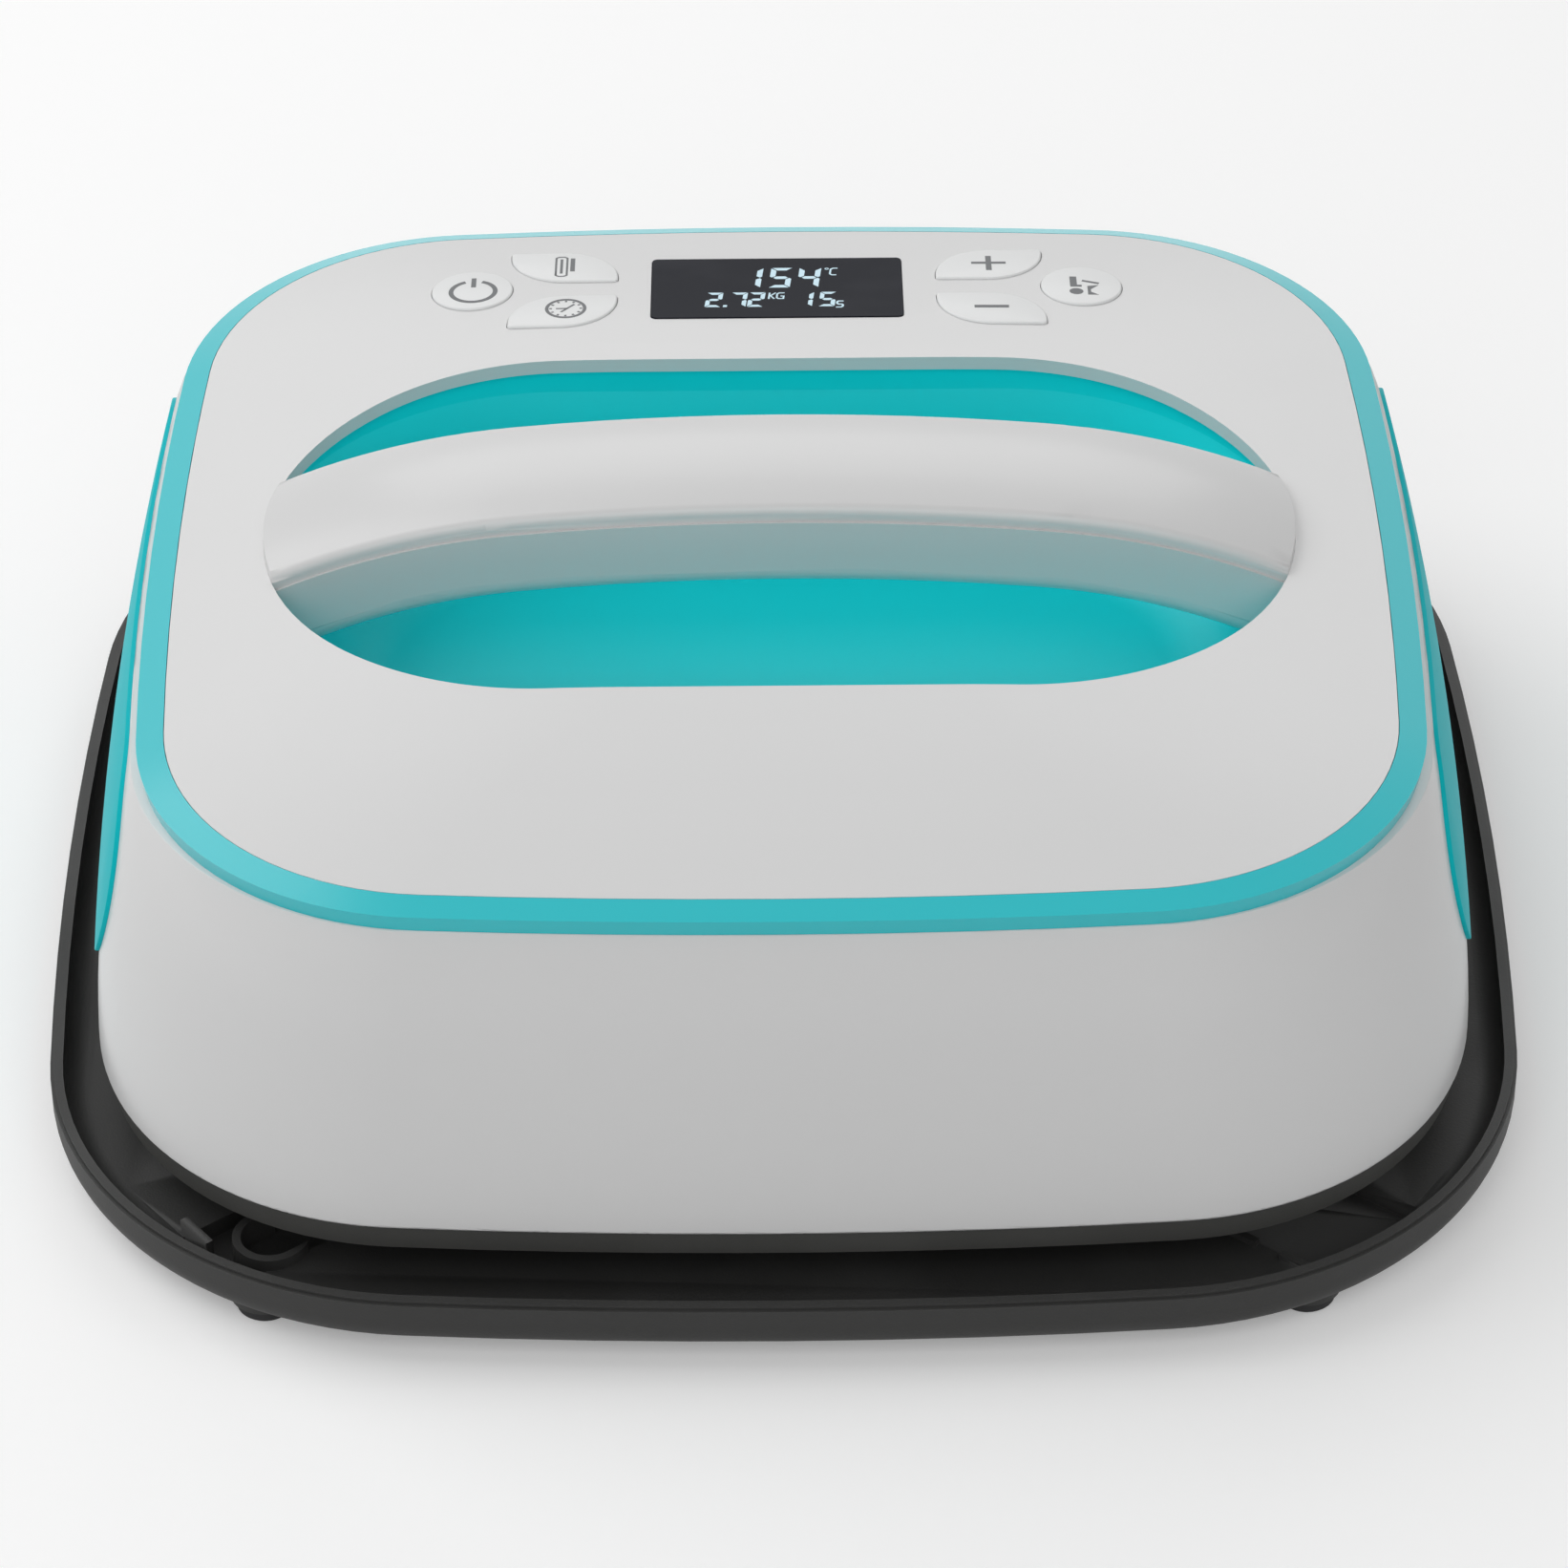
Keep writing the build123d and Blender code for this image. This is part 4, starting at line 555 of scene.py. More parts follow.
@dataclass(frozen=True)
class Rubber:
    """Moulded rubber with a soft bloom and fine pores."""

    name: str
    colour: Colour
    bloom: Colour
    roughness: float = 0.75

    def material(self) -> bpy.types.Material:
        """Build the material.

        Returns:
            A new material.
        """
        shader = Shader(self.name)
        bloom = shader.ramp(shader.noise(14 * MM, 5.0), (0.4, 0.0), (0.8, 1.0))
        pores = shader.ramp(shader.cells(0.7 * MM), (0.0, 0.0), (0.3, 1.0))
        shader.set(
            Base_Color=shader.blend(bloom * 0.4, self.colour, self.bloom),
            Roughness=self.roughness + 0.1 * bloom,
            Normal=shader.bump(pores, 0.02 * MM),
        )
        return shader.material


@dataclass(frozen=True)
class DarkGlass:
    """Black-backed display window with a polished face and faint finger smears."""

    name: str
    colour: Colour
    smear: Colour

    def material(self) -> bpy.types.Material:
        """Build the material.

        Returns:
            A new material.
        """
        shader = Shader(self.name)
        smear = shader.ramp(shader.noise(12 * MM, 5.0, (0.5, 1.0, 1.0)), (0.5, 0.0), (0.8, 1.0))
        shader.set(
            Base_Color=shader.blend(smear * 0.4, self.colour, self.smear),
            Roughness=0.16 + 0.16 * smear,
            Specular_IOR_Level=0.06,
        )
        return shader.material


@dataclass(frozen=True)
class Lit:
    """Lit display segments: pale, with a faint uneven glow."""

    name: str
    colour: Colour
    strength: float

    def material(self) -> bpy.types.Material:
        """Build the material.

        Returns:
            A new material.
        """
        shader = Shader(self.name)
        haze = shader.noise(3 * MM, 2.0)
        dimmed = tuple(channel * 0.88 for channel in self.colour)
        shader.set(
            Base_Color=shader.blend(haze, dimmed, self.colour),
            Roughness=0.3,
            Emission_Color=shader.blend(haze, dimmed, self.colour),
            Emission_Strength=self.strength,
        )
        return shader.material


Polymer = MouldedPlastic | GrainedPlastic | Rubber
Finish = Polymer | Metal | CoatedPlate | CircuitBoard | Felt | DarkGlass | Lit

PALE_SHELL = MouldedPlastic(
    "pale_shell", linear(217, 217, 217), linear(214, 214, 214), roughness=0.36, coat=0.35
)
PALE_GRIP = MouldedPlastic(
    "pale_grip", linear(213, 213, 213), linear(210, 210, 210), roughness=0.36, coat=0.35
)
TEAL_TRIM = MouldedPlastic(
    "teal_trim", linear(10, 194, 203), linear(6, 190, 200), roughness=0.34, coat=0.5
)
TEAL_INLAY = MouldedPlastic(
    "teal_inlay", linear(4, 190, 198), linear(0, 186, 194), roughness=0.5, specular=0.1
)
# The trim's teal painted brighter for the bowl: painted light that stands in for the light reaching
# the bowl's shaded hollow.
TEAL_BOWL_PAINTED_LIGHT = MouldedPlastic(
    "teal_bowl_painted_light", linear(6, 226, 231), linear(4, 222, 228), roughness=0.45, specular=0.35
)
KEY_CAP = MouldedPlastic(
    "key_cap", linear(229, 230, 230), linear(227, 228, 228), roughness=0.4, coat=0.2
)
SYMBOL_INK = MouldedPlastic(
    "symbol_ink", linear(118, 120, 122), linear(110, 112, 114), roughness=0.55, specular=0.3
)
TRAY_BLACK = GrainedPlastic(
    "tray_black", linear(38, 38, 37), linear(56, 56, 55), roughness=0.65
)
SKIRT_BLACK = GrainedPlastic(
    "skirt_black", linear(60, 60, 58), linear(76, 76, 74), roughness=0.55
)
FOOT_RUBBER = Rubber("foot_rubber", linear(32, 32, 33), linear(58, 58, 58))
MAT_SILICONE = Rubber("mat_silicone", linear(44, 44, 46), linear(66, 66, 68), 0.65)
WINDOW = DarkGlass("display_window_dark", linear(12, 16, 28), linear(18, 21, 33))
DIGITS = Lit("display_digits", linear(184, 212, 224), 0.3)
BOARD_GREEN = CircuitBoard(
    "board_green", linear(14, 86, 48), linear(24, 116, 66), linear(190, 190, 184)
)
BLACK_RESIN = MouldedPlastic(
    "black_resin", linear(34, 34, 36), linear(28, 28, 30), roughness=0.45
)
COIL_TAPE = MouldedPlastic("coil_tape", linear(196, 160, 48), linear(176, 140, 36), roughness=0.4)
CAN_SLEEVE = MouldedPlastic("can_sleeve", linear(36, 52, 110), linear(28, 42, 94), roughness=0.3)
TERMINAL_GREEN = MouldedPlastic(
    "terminal_green", linear(40, 150, 84), linear(34, 136, 74), roughness=0.4
)
FUSE_GLASS = MouldedPlastic(
    "fuse_glass", linear(210, 214, 212), linear(198, 202, 200), roughness=0.12, coat=0.5
)
FRAME_GREY = GrainedPlastic("frame_grey", linear(112, 113, 115), linear(140, 140, 141), 0.6)
PLATE_COATING = CoatedPlate("plate_coating", linear(66, 67, 70), linear(126, 127, 130), 0.38)
ELEMENT_STEEL = Metal("element_steel", linear(150, 144, 138), linear(110, 92, 88), 0.42)
SHEET_STEEL = Metal("sheet_steel", linear(198, 199, 200), linear(160, 160, 160), 0.34)
SCREW_STEEL = Metal("screw_steel", linear(182, 183, 186), linear(140, 140, 138), 0.3)
INSULATION = Felt("insulation_felt", linear(232, 228, 216), linear(196, 190, 176))
SENSOR_CERAMIC = MouldedPlastic(
    "sensor_ceramic", linear(216, 210, 190), linear(200, 194, 172), roughness=0.6
)


class Wardrobe:
    """Builds each finish once and hands it out."""

    def __init__(self) -> None:
        """Start with nothing built."""
        self._made: dict[str, bpy.types.Material] = {}

    def get(self, finish: Finish) -> bpy.types.Material:
        """Give a finish's material.

        Args:
            finish: The finish wanted.

        Returns:
            Its material, built on first use.
        """
        if finish.name not in self._made:
            self._made[finish.name] = finish.material()
        return self._made[finish.name]


WARDROBE = Wardrobe()


# ---------------------------------------------------------------------------
# Mesh helpers
# ---------------------------------------------------------------------------


def add_piece(
    name: str,
    shape: bmesh.types.BMesh,
    finish: Finish,
    body: Body,
    replaces: Iterable[str] = (),
    smooth_angle: float = 30.0,
) -> bpy.types.Object:
    """Turn a bmesh into a finished piece that rides on a body.

    Args:
        name: The piece's name.
        shape: Its shape, which is freed.
        finish: Its finish.
        body: The body that it rides on.
        replaces: CAD nodes that it stands for.
        smooth_angle: Edges sharper than this, in degrees, stay sharp.

    Returns:
        The new object.
    """
    mesh = bpy.data.meshes.new(name)
    shape.to_mesh(mesh)
    shape.free()
    mesh.shade_smooth()
    mesh.set_sharp_from_angle(angle=math.radians(smooth_angle))
    mesh.materials.clear()
    mesh.materials.append(WARDROBE.get(finish))
    piece = bpy.data.objects.new(name, mesh)
    bpy.context.scene.collection.objects.link(piece)
    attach(piece, body.value)
    for node in replaces:
        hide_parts(node)
    LOG.info("%s: %d faces on %s", name, len(mesh.polygons), body.value)
    return piece


def merged(node: str, weld: float = 0.002 * MM, flat: float = 0.4) -> bmesh.types.BMesh:
    """Give a CAD node's shape with its loose triangles joined and its flat faces whole.

    Args:
        node: The CAD node.
        weld: Corners closer than this, in metres, become one.
        flat: Triangles within this angle of each other, in degrees, become one face.

    Returns:
        A new bmesh.
    """
    shape = bmesh.new()
    shape.from_mesh(frame["nodes"][node].data)
    bmesh.ops.remove_doubles(shape, verts=shape.verts, dist=weld)
    bmesh.ops.dissolve_limit(
        shape, angle_limit=math.radians(flat), verts=shape.verts, edges=shape.edges
    )
    bmesh.ops.recalc_face_normals(shape, faces=shape.faces)
    return shape


def surface_of(node: str) -> BVHTree:
    """Give a CAD node's surface, to measure gaps from and to lay marks on.

    Args:
        node: The CAD node.

    Returns:
        A tree of its faces.
    """
    shape = merged(node)
    tree = BVHTree.FromBMesh(shape)
    shape.free()
    return tree


def round_over(
    shape: bmesh.types.BMesh, edges: list[bmesh.types.BMEdge], width: float, segments: int
) -> None:
    """Round some edges of a shape.

    Args:
        shape: The shape.
        edges: The edges to round.
        width: Width of the rounding, in metres.
        segments: Faces across the rounding.
    """
    bmesh.ops.bevel(
        shape,
        geom=edges,
        offset=width,
        affect="EDGES",
        segments=segments,
        profile=0.5,
        material=-1,
        clamp_overlap=True,
    )


def dress_node(node: str, finish: Finish) -> None:
    """Give a CAD node that stays a better material.

    Args:
        node: The CAD node.
        finish: Its finish.
    """
    piece = frame["nodes"][node]
    for held in piece.material_slots:
        held.material = WARDROBE.get(finish)
    LOG.info("%s: dressed in %s", node, finish.name)


def refined(
    node: str,
    finish: Finish,
    body: Body,
    shape: bmesh.types.BMesh | None = None,
) -> bpy.types.Object:
    """Replace a CAD node by a smooth piece.

    Args:
        node: The CAD node.
        finish: Its finish.
        body: The body that it rides on.
        shape: The node's reshaped form, or None for its own joined shape.

    Returns:
        The new piece.
    """
    if shape is None:
        shape = merged(node)
    return add_piece(f"{node}_skin", shape, finish, body, (node,))


def shade_by(piece: bpy.types.Object, surface: Field, reach: float = 14.0) -> None:
    """Shade the faces that follow a known surface by that surface's own normals.

    Args:
        piece: The piece.
        surface: Gives the surface's outward direction at a point.
        reach: Faces within this angle of the surface, in degrees, follow it.
    """
    mesh = piece.data
    wanted = [surface(vert.co) for vert in mesh.vertices]
    normals = [Vector((0.0, 0.0, 0.0)) for _ in mesh.loops]
    limit = math.cos(math.radians(reach))
    for face in mesh.polygons:
        for loop in face.loop_indices:
            outward = wanted[mesh.loops[loop].vertex_index]
            if face.normal.dot(outward) > limit:
                normals[loop] = outward
    mesh.normals_split_custom_set(normals)


# ---------------------------------------------------------------------------
# Surfaces of the housing
# ---------------------------------------------------------------------------


@dataclass(frozen=True)
class BowedOutline:
    """An outline of four bowed sides and four corner arcs that run into each other."""

    half_x: float
    half_y: float
    corner: float
    bow: float = 1080.0 * MM

    def _ray(self, x: float, y: float) -> tuple[Vector, float]:
        """Find the arc beside a point.

        Args:
            x: The point's X.
            y: The point's Y.

        Returns:
            The way from the arc's centre to the point, in the positive quadrant, and its radius.
        """
        shift_x, shift_y = self.bow - self.half_x, self.bow - self.half_y
        span = math.hypot(shift_x, shift_y)
        rise = math.sqrt((self.bow - self.corner) ** 2 - span**2 / 4)
        centre_x = rise * shift_y / span - shift_x / 2
        centre_y = rise * shift_x / span - shift_y / 2
        across, along = abs(x), abs(y)
        if across * (centre_y + shift_y) < centre_x * (along + shift_y):
            return Vector((across, along + shift_y, 0.0)), self.bow
        if along * (centre_x + shift_x) < centre_y * (across + shift_x):
            return Vector((across + shift_x, along, 0.0)), self.bow
        return Vector((across - centre_x, along - centre_y, 0.0)), self.corner

    def outward(self, x: float, y: float) -> Vector:
        """Give the outline's outward direction beside a point, as a unit vector."""
        ray, _ = self._ray(x, y)
        return Vector((math.copysign(ray.x, x), math.copysign(ray.y, y), 0.0)).normalized()

    def beyond(self, x: float, y: float) -> float:
        """Give how far a point lies outside the outline, negative inside."""
        ray, radius = self._ray(x, y)
        return ray.length - radius


@dataclass(frozen=True)
class FlaredWall:
    """The shell's outer wall, which flares from the ring down to its foot."""

    top: BowedOutline
    foot: BowedOutline
    top_z: float
    foot_z: float
    power: float = 1.8
    trim: float = 2.25 * MM
    trim_less_at_sides: float = 2.4 * MM
    trim_height: float = 26.0 * MM
    thickness: float = 3.0 * MM

    @classmethod
    def from_frame(cls) -> "FlaredWall":
        """Take the wall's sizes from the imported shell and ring.

        Returns:
            The shell's outer wall.
        """
        ring_low, ring_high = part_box("rim_ring")
        shell_low, shell_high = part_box("body_shell")
        lip, top_corner, foot_corner = 2.0 * MM, 60.3 * MM, 65.8 * MM
        top = BowedOutline(ring_high[0] + lip, ring_high[1] + lip, top_corner)
        foot = BowedOutline(shell_high[0], shell_high[1], foot_corner)
        return cls(top, foot, ring_low[2], shell_low[2])

    def depth(self, z: float) -> float:
        """Give a height's depth under the ring, from 0 at the ring to 1 at the foot."""
        return min(max((self.top_z - z) / (self.top_z - self.foot_z), 0.0), 1.0)

    def outline(self, z: float) -> BowedOutline:
        """Give the wall's outline at a height.

        Args:
            z: The height.

        Returns:
            The outline there.
        """
        share = 1.0 - (1.0 - self.depth(z)) ** self.power
        half_x = self.top.half_x + (self.foot.half_x - self.top.half_x) * share
        half_y = self.top.half_y + (self.foot.half_y - self.top.half_y) * share
        corner = self.top.corner + (self.foot.corner - self.top.corner) * share
        return BowedOutline(half_x, half_y, corner)

    def outward(self, point: Vector) -> Vector:
        """Give the wall's outward direction beside a point.

        Args:
            point: A point on or near the wall.

        Returns:
            A unit vector that leans upwards with the flare.
        """
        across = self.outline(point.z).outward(point.x, point.y)
        grown_corner = self.foot.corner - self.top.corner
        grown_x = self.foot.half_x - self.top.half_x - grown_corner
        grown_y = self.foot.half_y - self.top.half_y - grown_corner
        flare = abs(across.x) * grown_x + abs(across.y) * grown_y + grown_corner
        steepness = self.power * (1.0 - self.depth(point.z)) ** (self.power - 1.0)
        lean = flare * steepness / (self.top_z - self.foot_z)
        lean += 2.0 * self.trim * self._trim_share(point.z) ** 0.5 / self.trim_height
        return Vector((across.x, across.y, lean)).normalized()

    def _trim_share(self, z: float) -> float:
        """Give how much of the trim a height takes, 1 at the ring and 0 below the trim."""
        return min(max(1.0 - (self.top_z - z) / self.trim_height, 0.0), 1.0) ** 2

    def draw_in(self, shape: bmesh.types.BMesh) -> None:
        """Draw a shape's outer wall in under the ring, most at the top, not at the sides.

        Args:
            shape: The shape, whose wide faces become triangles first so that none folds.
        """
        wide = [face for face in shape.faces if len(face.verts) > 4]
        bmesh.ops.triangulate(shape, faces=wide)
        for vert in shape.verts:
            outline = self.outline(vert.co.z)
            if outline.beyond(vert.co.x, vert.co.y) > -self.thickness:
                outward = outline.outward(vert.co.x, vert.co.y)
                trim = self.trim - self.trim_less_at_sides * outward.x**4
                vert.co -= outward * trim * self._trim_share(vert.co.z)


@dataclass(frozen=True)
class BowlWall:
    """The finger bowl's inner face: sloped walls that curve into a flat floor."""

    straight: float
    floor_z: float
    floor_round: float = 17.0 * MM
    wall_angle: float = math.radians(66.4)

    @classmethod
    def from_frame(cls, depth: float = 35.0 * MM) -> "BowlWall":
        """Take the bowl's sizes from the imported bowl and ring.

        Args:
            depth: Depth of its floor under the cover's edge.

        Returns:
            The bowl's inner face.
        """
        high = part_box("recess_bowl")[1]
        edge_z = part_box("rim_ring")[1][2]
        return cls(high[0] - high[1], edge_z - depth)

    def outward(self, point: Vector) -> Vector:
        """Give the face's direction into the hollow beside a point.

        Args:
            point: A point on or near the bowl's inner face.

        Returns:
            A unit vector that points into the hollow.
        """
        nearest = Vector((min(max(point.x, -self.straight), self.straight), 0.0, 0.0))
        inward = (nearest - Vector((point.x, point.y, 0.0))).normalized()
        rise = max(point.z - self.floor_z, 0.0) / self.floor_round
        turn = min(math.acos(max(1.0 - rise, 0.0)), self.wall_angle)
        return (inward * math.sin(turn) + Vector((0.0, 0.0, math.cos(turn)))).normalized()


# ---------------------------------------------------------------------------
# Marks printed on the tilted panel
# ---------------------------------------------------------------------------


@dataclass(frozen=True)
class PanelFrame:
    """The tilted plane that the keys and the display share."""

    origin: Vector
    normal: Vector

    @classmethod
    def from_frame(
        cls, key_joint: str, window: str, tolerance: float = 0.01 * MM
    ) -> "PanelFrame":
        """Find the plane from the way a key travels and where the display window lies.

        Args:
            key_joint: A key's joint, which points into the panel.
            window: The display window's node, which is centred on the plane.
            tolerance: Depth under the window's crest that still counts as its face.

        Returns:
            The plane.
        """
        joint = next(each for each in frame["joints"] if each["name"] == key_joint)
        normal = -Vector(joint["axis"]).normalized()
        corners = [vert.co for vert in frame["nodes"][window].data.vertices]
        height = max(corner.dot(normal) for corner in corners)
        face = [corner for corner in corners if height - corner.dot(normal) < tolerance]
        low = Vector(min(corner[axis] for corner in face) for axis in range(3))
        high = Vector(max(corner[axis] for corner in face) for axis in range(3))
        return cls((low + high) / 2, normal)

    def at(self, x: float, v: float, height: float = 0.0) -> Vector:
        """Give a point on the panel.

        Args:
            x: Distance to the right of its centre, in metres.
            v: Distance up the slope from its centre, in metres.
            height: Distance out of the plane, in metres.

        Returns:
            The point in the model's frame.
        """
        right = Vector((1.0, 0.0, 0.0))
        return self.origin + right * x + self.normal.cross(right) * v + self.normal * height


class Stencil:
    """Flat marks, drawn in panel millimetres and then laid on a surface."""

    step_angle = 6.0
    disc_sides = 40
    drop_height = 4.0 * MM
    sharp_mitre = 0.5

    def __init__(self, panel: PanelFrame, centre: Point) -> None:
        """Start with nothing drawn.

        Args:
            panel: The panel that it is drawn on.
            centre: The marks' own zero point on the panel, in millimetres.
        """
        self.panel = panel
        self.centre = centre
        self.shape = bmesh.new()

    def polygon(self, *corners: Point) -> None:
        """Draw a filled polygon."""
        self.shape.faces.new([self.shape.verts.new((x, v, 0.0)) for x, v in corners])

    def arc(
        self, middle: Point, radius: float, width: float, start: float = 0.0, end: float = 360.0
    ) -> None:
        """Draw an arc or a ring by spinning a short edge.

        Args:
            middle: Its centre.
            radius: Its outer radius.
            width: Width of its line.
            start: First angle, in degrees from the right.
            end: Last angle.
        """
        centre = Vector((*middle, 0.0))
        ray = Vector((math.cos(math.radians(start)), math.sin(math.radians(start)), 0.0))
        far = self.shape.verts.new(centre + ray * radius)
        near = self.shape.verts.new(centre + ray * (radius - width))
        bmesh.ops.spin(
            self.shape,
            geom=[far, near, self.shape.edges.new((far, near))],
            cent=centre,
            axis=(0.0, 0.0, 1.0),
            angle=math.radians(end - start),
            steps=max(int((end - start) / self.step_angle), 4),
            use_merge=end - start >= 360.0,
        )

    def disc(self, middle: Point, half_x: float, half_v: float) -> None:
        """Draw a filled ellipse.

        Args:
            middle: Its centre.
            half_x: Half its width.
            half_v: Half its height.
        """
        place = Matrix.Translation((*middle, 0.0)) @ Matrix.Diagonal((half_x, half_v, 1.0, 1.0))
        bmesh.ops.create_circle(
            self.shape, cap_ends=True, radius=1.0, segments=self.disc_sides, matrix=place
        )

    def stroke(self, points: Sequence[Point], width: float) -> None:
        """Draw a line of even width with mitred corners, by extruding an edge along it.

        Args:
            points: The line's points.
            width: Its width.
        """
        path = [Vector((x, v, 0.0)) for x, v in points]
        runs = [(ahead - here).normalized() for here, ahead in zip(path, path[1:])]
        left = self.shape.verts.new(path[0])
        right = self.shape.verts.new(path[0])
        edge = self.shape.edges.new((left, right))
        for index, corner in enumerate(path):
            before, after = runs[max(index - 1, 0)], runs[min(index, len(runs) - 1)]
            across = Vector((0.0, 0.0, 1.0)).cross(before + after).normalized()
            mitre = across.dot(Vector((-before.y, before.x, 0.0)))
            reach = width / 2 / max(mitre, self.sharp_mitre)
            if index:
                grown = bmesh.ops.extrude_edge_only(self.shape, edges=[edge])["geom"]
                ends = [part for part in grown if isinstance(part, bmesh.types.BMVert)]
                left, right = sorted(ends, key=lambda end: (end.co - left.co).length)
                edge = self.shape.edges.get((left, right))
            left.co, right.co = corner + across * reach, corner - across * reach

    def lay(
        self, name: str, surface: BVHTree, finish: Finish, body: Body, proud: float
    ) -> bpy.types.Object:
        """Give the marks thickness and lay them on a surface.

        Args:
            name: The piece's name.
            surface: The surface under the marks.
            finish: Their finish.
            body: The body that they ride on.
            proud: How far they stand out, in metres.

        Returns:
            The new piece.
        """
        bmesh.ops.recalc_face_normals(self.shape, faces=self.shape.faces)
        for face in self.shape.faces:
            if face.normal.z < 0:
                face.normal_flip()
        flat = list(self.shape.faces)
        grown = bmesh.ops.extrude_face_region(self.shape, geom=flat, use_keep_orig=True)
        raised = {part for part in grown["geom"] if isinstance(part, bmesh.types.BMVert)}
        down = -self.panel.normal
        for vert in self.shape.verts:
            x, v = self.centre[0] + vert.co.x, self.centre[1] + vert.co.y
            above = self.panel.at(x * MM, v * MM, self.drop_height)
            hit = surface.ray_cast(above, down)[0]
            lift = proud if vert in raised else -proud
            vert.co = (hit or self.panel.at(x * MM, v * MM)) - down * lift
        bmesh.ops.recalc_face_normals(self.shape, faces=self.shape.faces)
        return add_piece(name, self.shape, finish, body, smooth_angle=40.0)


@dataclass(frozen=True)
class SevenSegment:
    """A slanted seven-segment digit, in millimetres."""

    height: float
    width: float
    thickness: float
    gap: float
    slant: float = math.tan(math.radians(5.0))

    def segments(self) -> dict[str, list[Point]]:
        """Outline each segment in an upright cell with its corner at zero.

        Returns:
            The corners of each segment, by its letter.
        """
        height, width, bar, gap = self.height, self.width, self.thickness, self.gap
        waist = height / 2
        upper_left = [
            (0, height - 1.2 * gap),
            (bar, height - bar - gap),
            (bar, waist + bar / 2 + gap),
            (0.35 * bar, waist + gap),
            (0, waist + bar / 2),
        ]
        top = [
            (1.2 * gap, height),
            (width - 1.2 * gap, height),
            (width - bar - gap, height - bar),
            (bar + gap, height - bar),
        ]
        middle = [
            (bar / 2 + gap, waist),
            (bar + gap, waist + bar / 2),
            (width - bar - gap, waist + bar / 2),
            (width - bar / 2 - gap, waist),
            (width - bar - gap, waist - bar / 2),
            (bar + gap, waist - bar / 2),
        ]
        upper_right = [(width - x, v) for x, v in upper_left]
        return {
            "a": top,
            "b": upper_right,
            "c": [(x, height - v) for x, v in upper_right],
            "d": [(x, height - v) for x, v in top],
            "e": [(x, height - v) for x, v in upper_left],
            "f": upper_left,
            "g": middle,
        }

    def draw(self, stencil: Stencil, lit: str, corner: Point) -> None:
        """Draw the lit segments of one digit.

        Args:
            stencil: The stencil to draw on.
            lit: Letters of the lit segments.
            corner: The cell's lower left corner.
        """
        for letter, corners in self.segments().items():
            if letter in lit:
                stencil.polygon(
                    *((corner[0] + x + v * self.slant, corner[1] + v) for x, v in corners)
                )


DIGIT_SEGMENTS = {"1": "bc", "2": "abged", "4": "fgbc", "5": "afgcd", "7": "abc"}


# ---------------------------------------------------------------------------
# Sub-assemblies
# ---------------------------------------------------------------------------


@dataclass
class Housing:
    """Cover, trim ring, shell, side inlays and bottom skirt."""

    ring_widening: float = 0.8 * MM
    undercut: float = 0.6 * MM
    cover_lap: float = 0.35 * MM
    foot_drop: float = 0.9 * MM
    lip_rounding: float = 0.22 * MM
    inlay_rounding: float = 0.4 * MM
    tolerance: float = 0.05 * MM
    inner_band: float = 0.6 * MM
    facing: float = 0.97
    wall: FlaredWall = field(default_factory=FlaredWall.from_frame)

    def build(self) -> None:
        """Build every piece."""
        refined("top_cover", PALE_SHELL, Body.PRESS)
        self._ring()
        self._shell()
        for side in ("left", "right"):
            self._inlay(f"side_inlay_{side}")
        refined("bottom_skirt", SKIRT_BLACK, Body.PRESS)

    def _ring(self) -> None:
        """Build the ring: wider at its sides, leaning in below and lapping the cover's gap."""
        shape = merged("rim_ring")
        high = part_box("rim_ring")[1]
        rim = BowedOutline(high[0], high[1], self.wall.top.corner)
        inner = min(rim.beyond(vert.co.x, vert.co.y) for vert in shape.verts)
        for vert in shape.verts:
            beyond = rim.beyond(vert.co.x, vert.co.y)
            outward = rim.outward(vert.co.x, vert.co.y)
            if beyond > -self.tolerance:
                vert.co += outward * self.ring_widening * abs(outward.x)
                if vert.co.z < self.wall.top_z + self.tolerance:
                    vert.co += Vector((0.0, 0.0, -self.foot_drop)) - outward * self.undercut
            elif beyond < inner + self.inner_band:
                vert.co -= outward * self.cover_lap
        refined("rim_ring", TEAL_TRIM, Body.PRESS, shape)

    def _shell(self) -> None:
        """Build the shell with its wall drawn in under the ring and a fine rounded lip."""
        shape = merged("body_shell")
        lip = {
            vert
            for vert in shape.verts
            if vert.co.z > self.wall.top_z - self.tolerance
            and self.wall.top.beyond(vert.co.x, vert.co.y) > -self.tolerance
        }
        self.wall.draw_in(shape)
        for vert in lip:
            vert.co.z -= self.foot_drop
        rim = [edge for edge in shape.edges if lip.issuperset(edge.verts)]
        round_over(shape, rim, self.lip_rounding, segments=2)
        shell = refined("body_shell", PALE_SHELL, Body.PRESS, shape)
        shade_by(shell, self.wall.outward)

    def _inlay(self, node: str) -> None:
        """Build a side inlay with rounded edges.

        Args:
            node: The inlay's node.
        """
        shape = merged(node)
        outer = [
            face
            for face in shape.faces
            if face.normal.dot(self.wall.outward(face.calc_center_median())) > self.facing
        ]
        border = [
            edge
            for edge in shape.edges
            if sum(face in outer for face in edge.link_faces) == 1
        ]
        self.wall.draw_in(shape)
        round_over(shape, border, self.inlay_rounding, segments=3)
        inlay = refined(node, TEAL_INLAY, Body.PRESS, shape)
        shade_by(inlay, self.wall.outward)


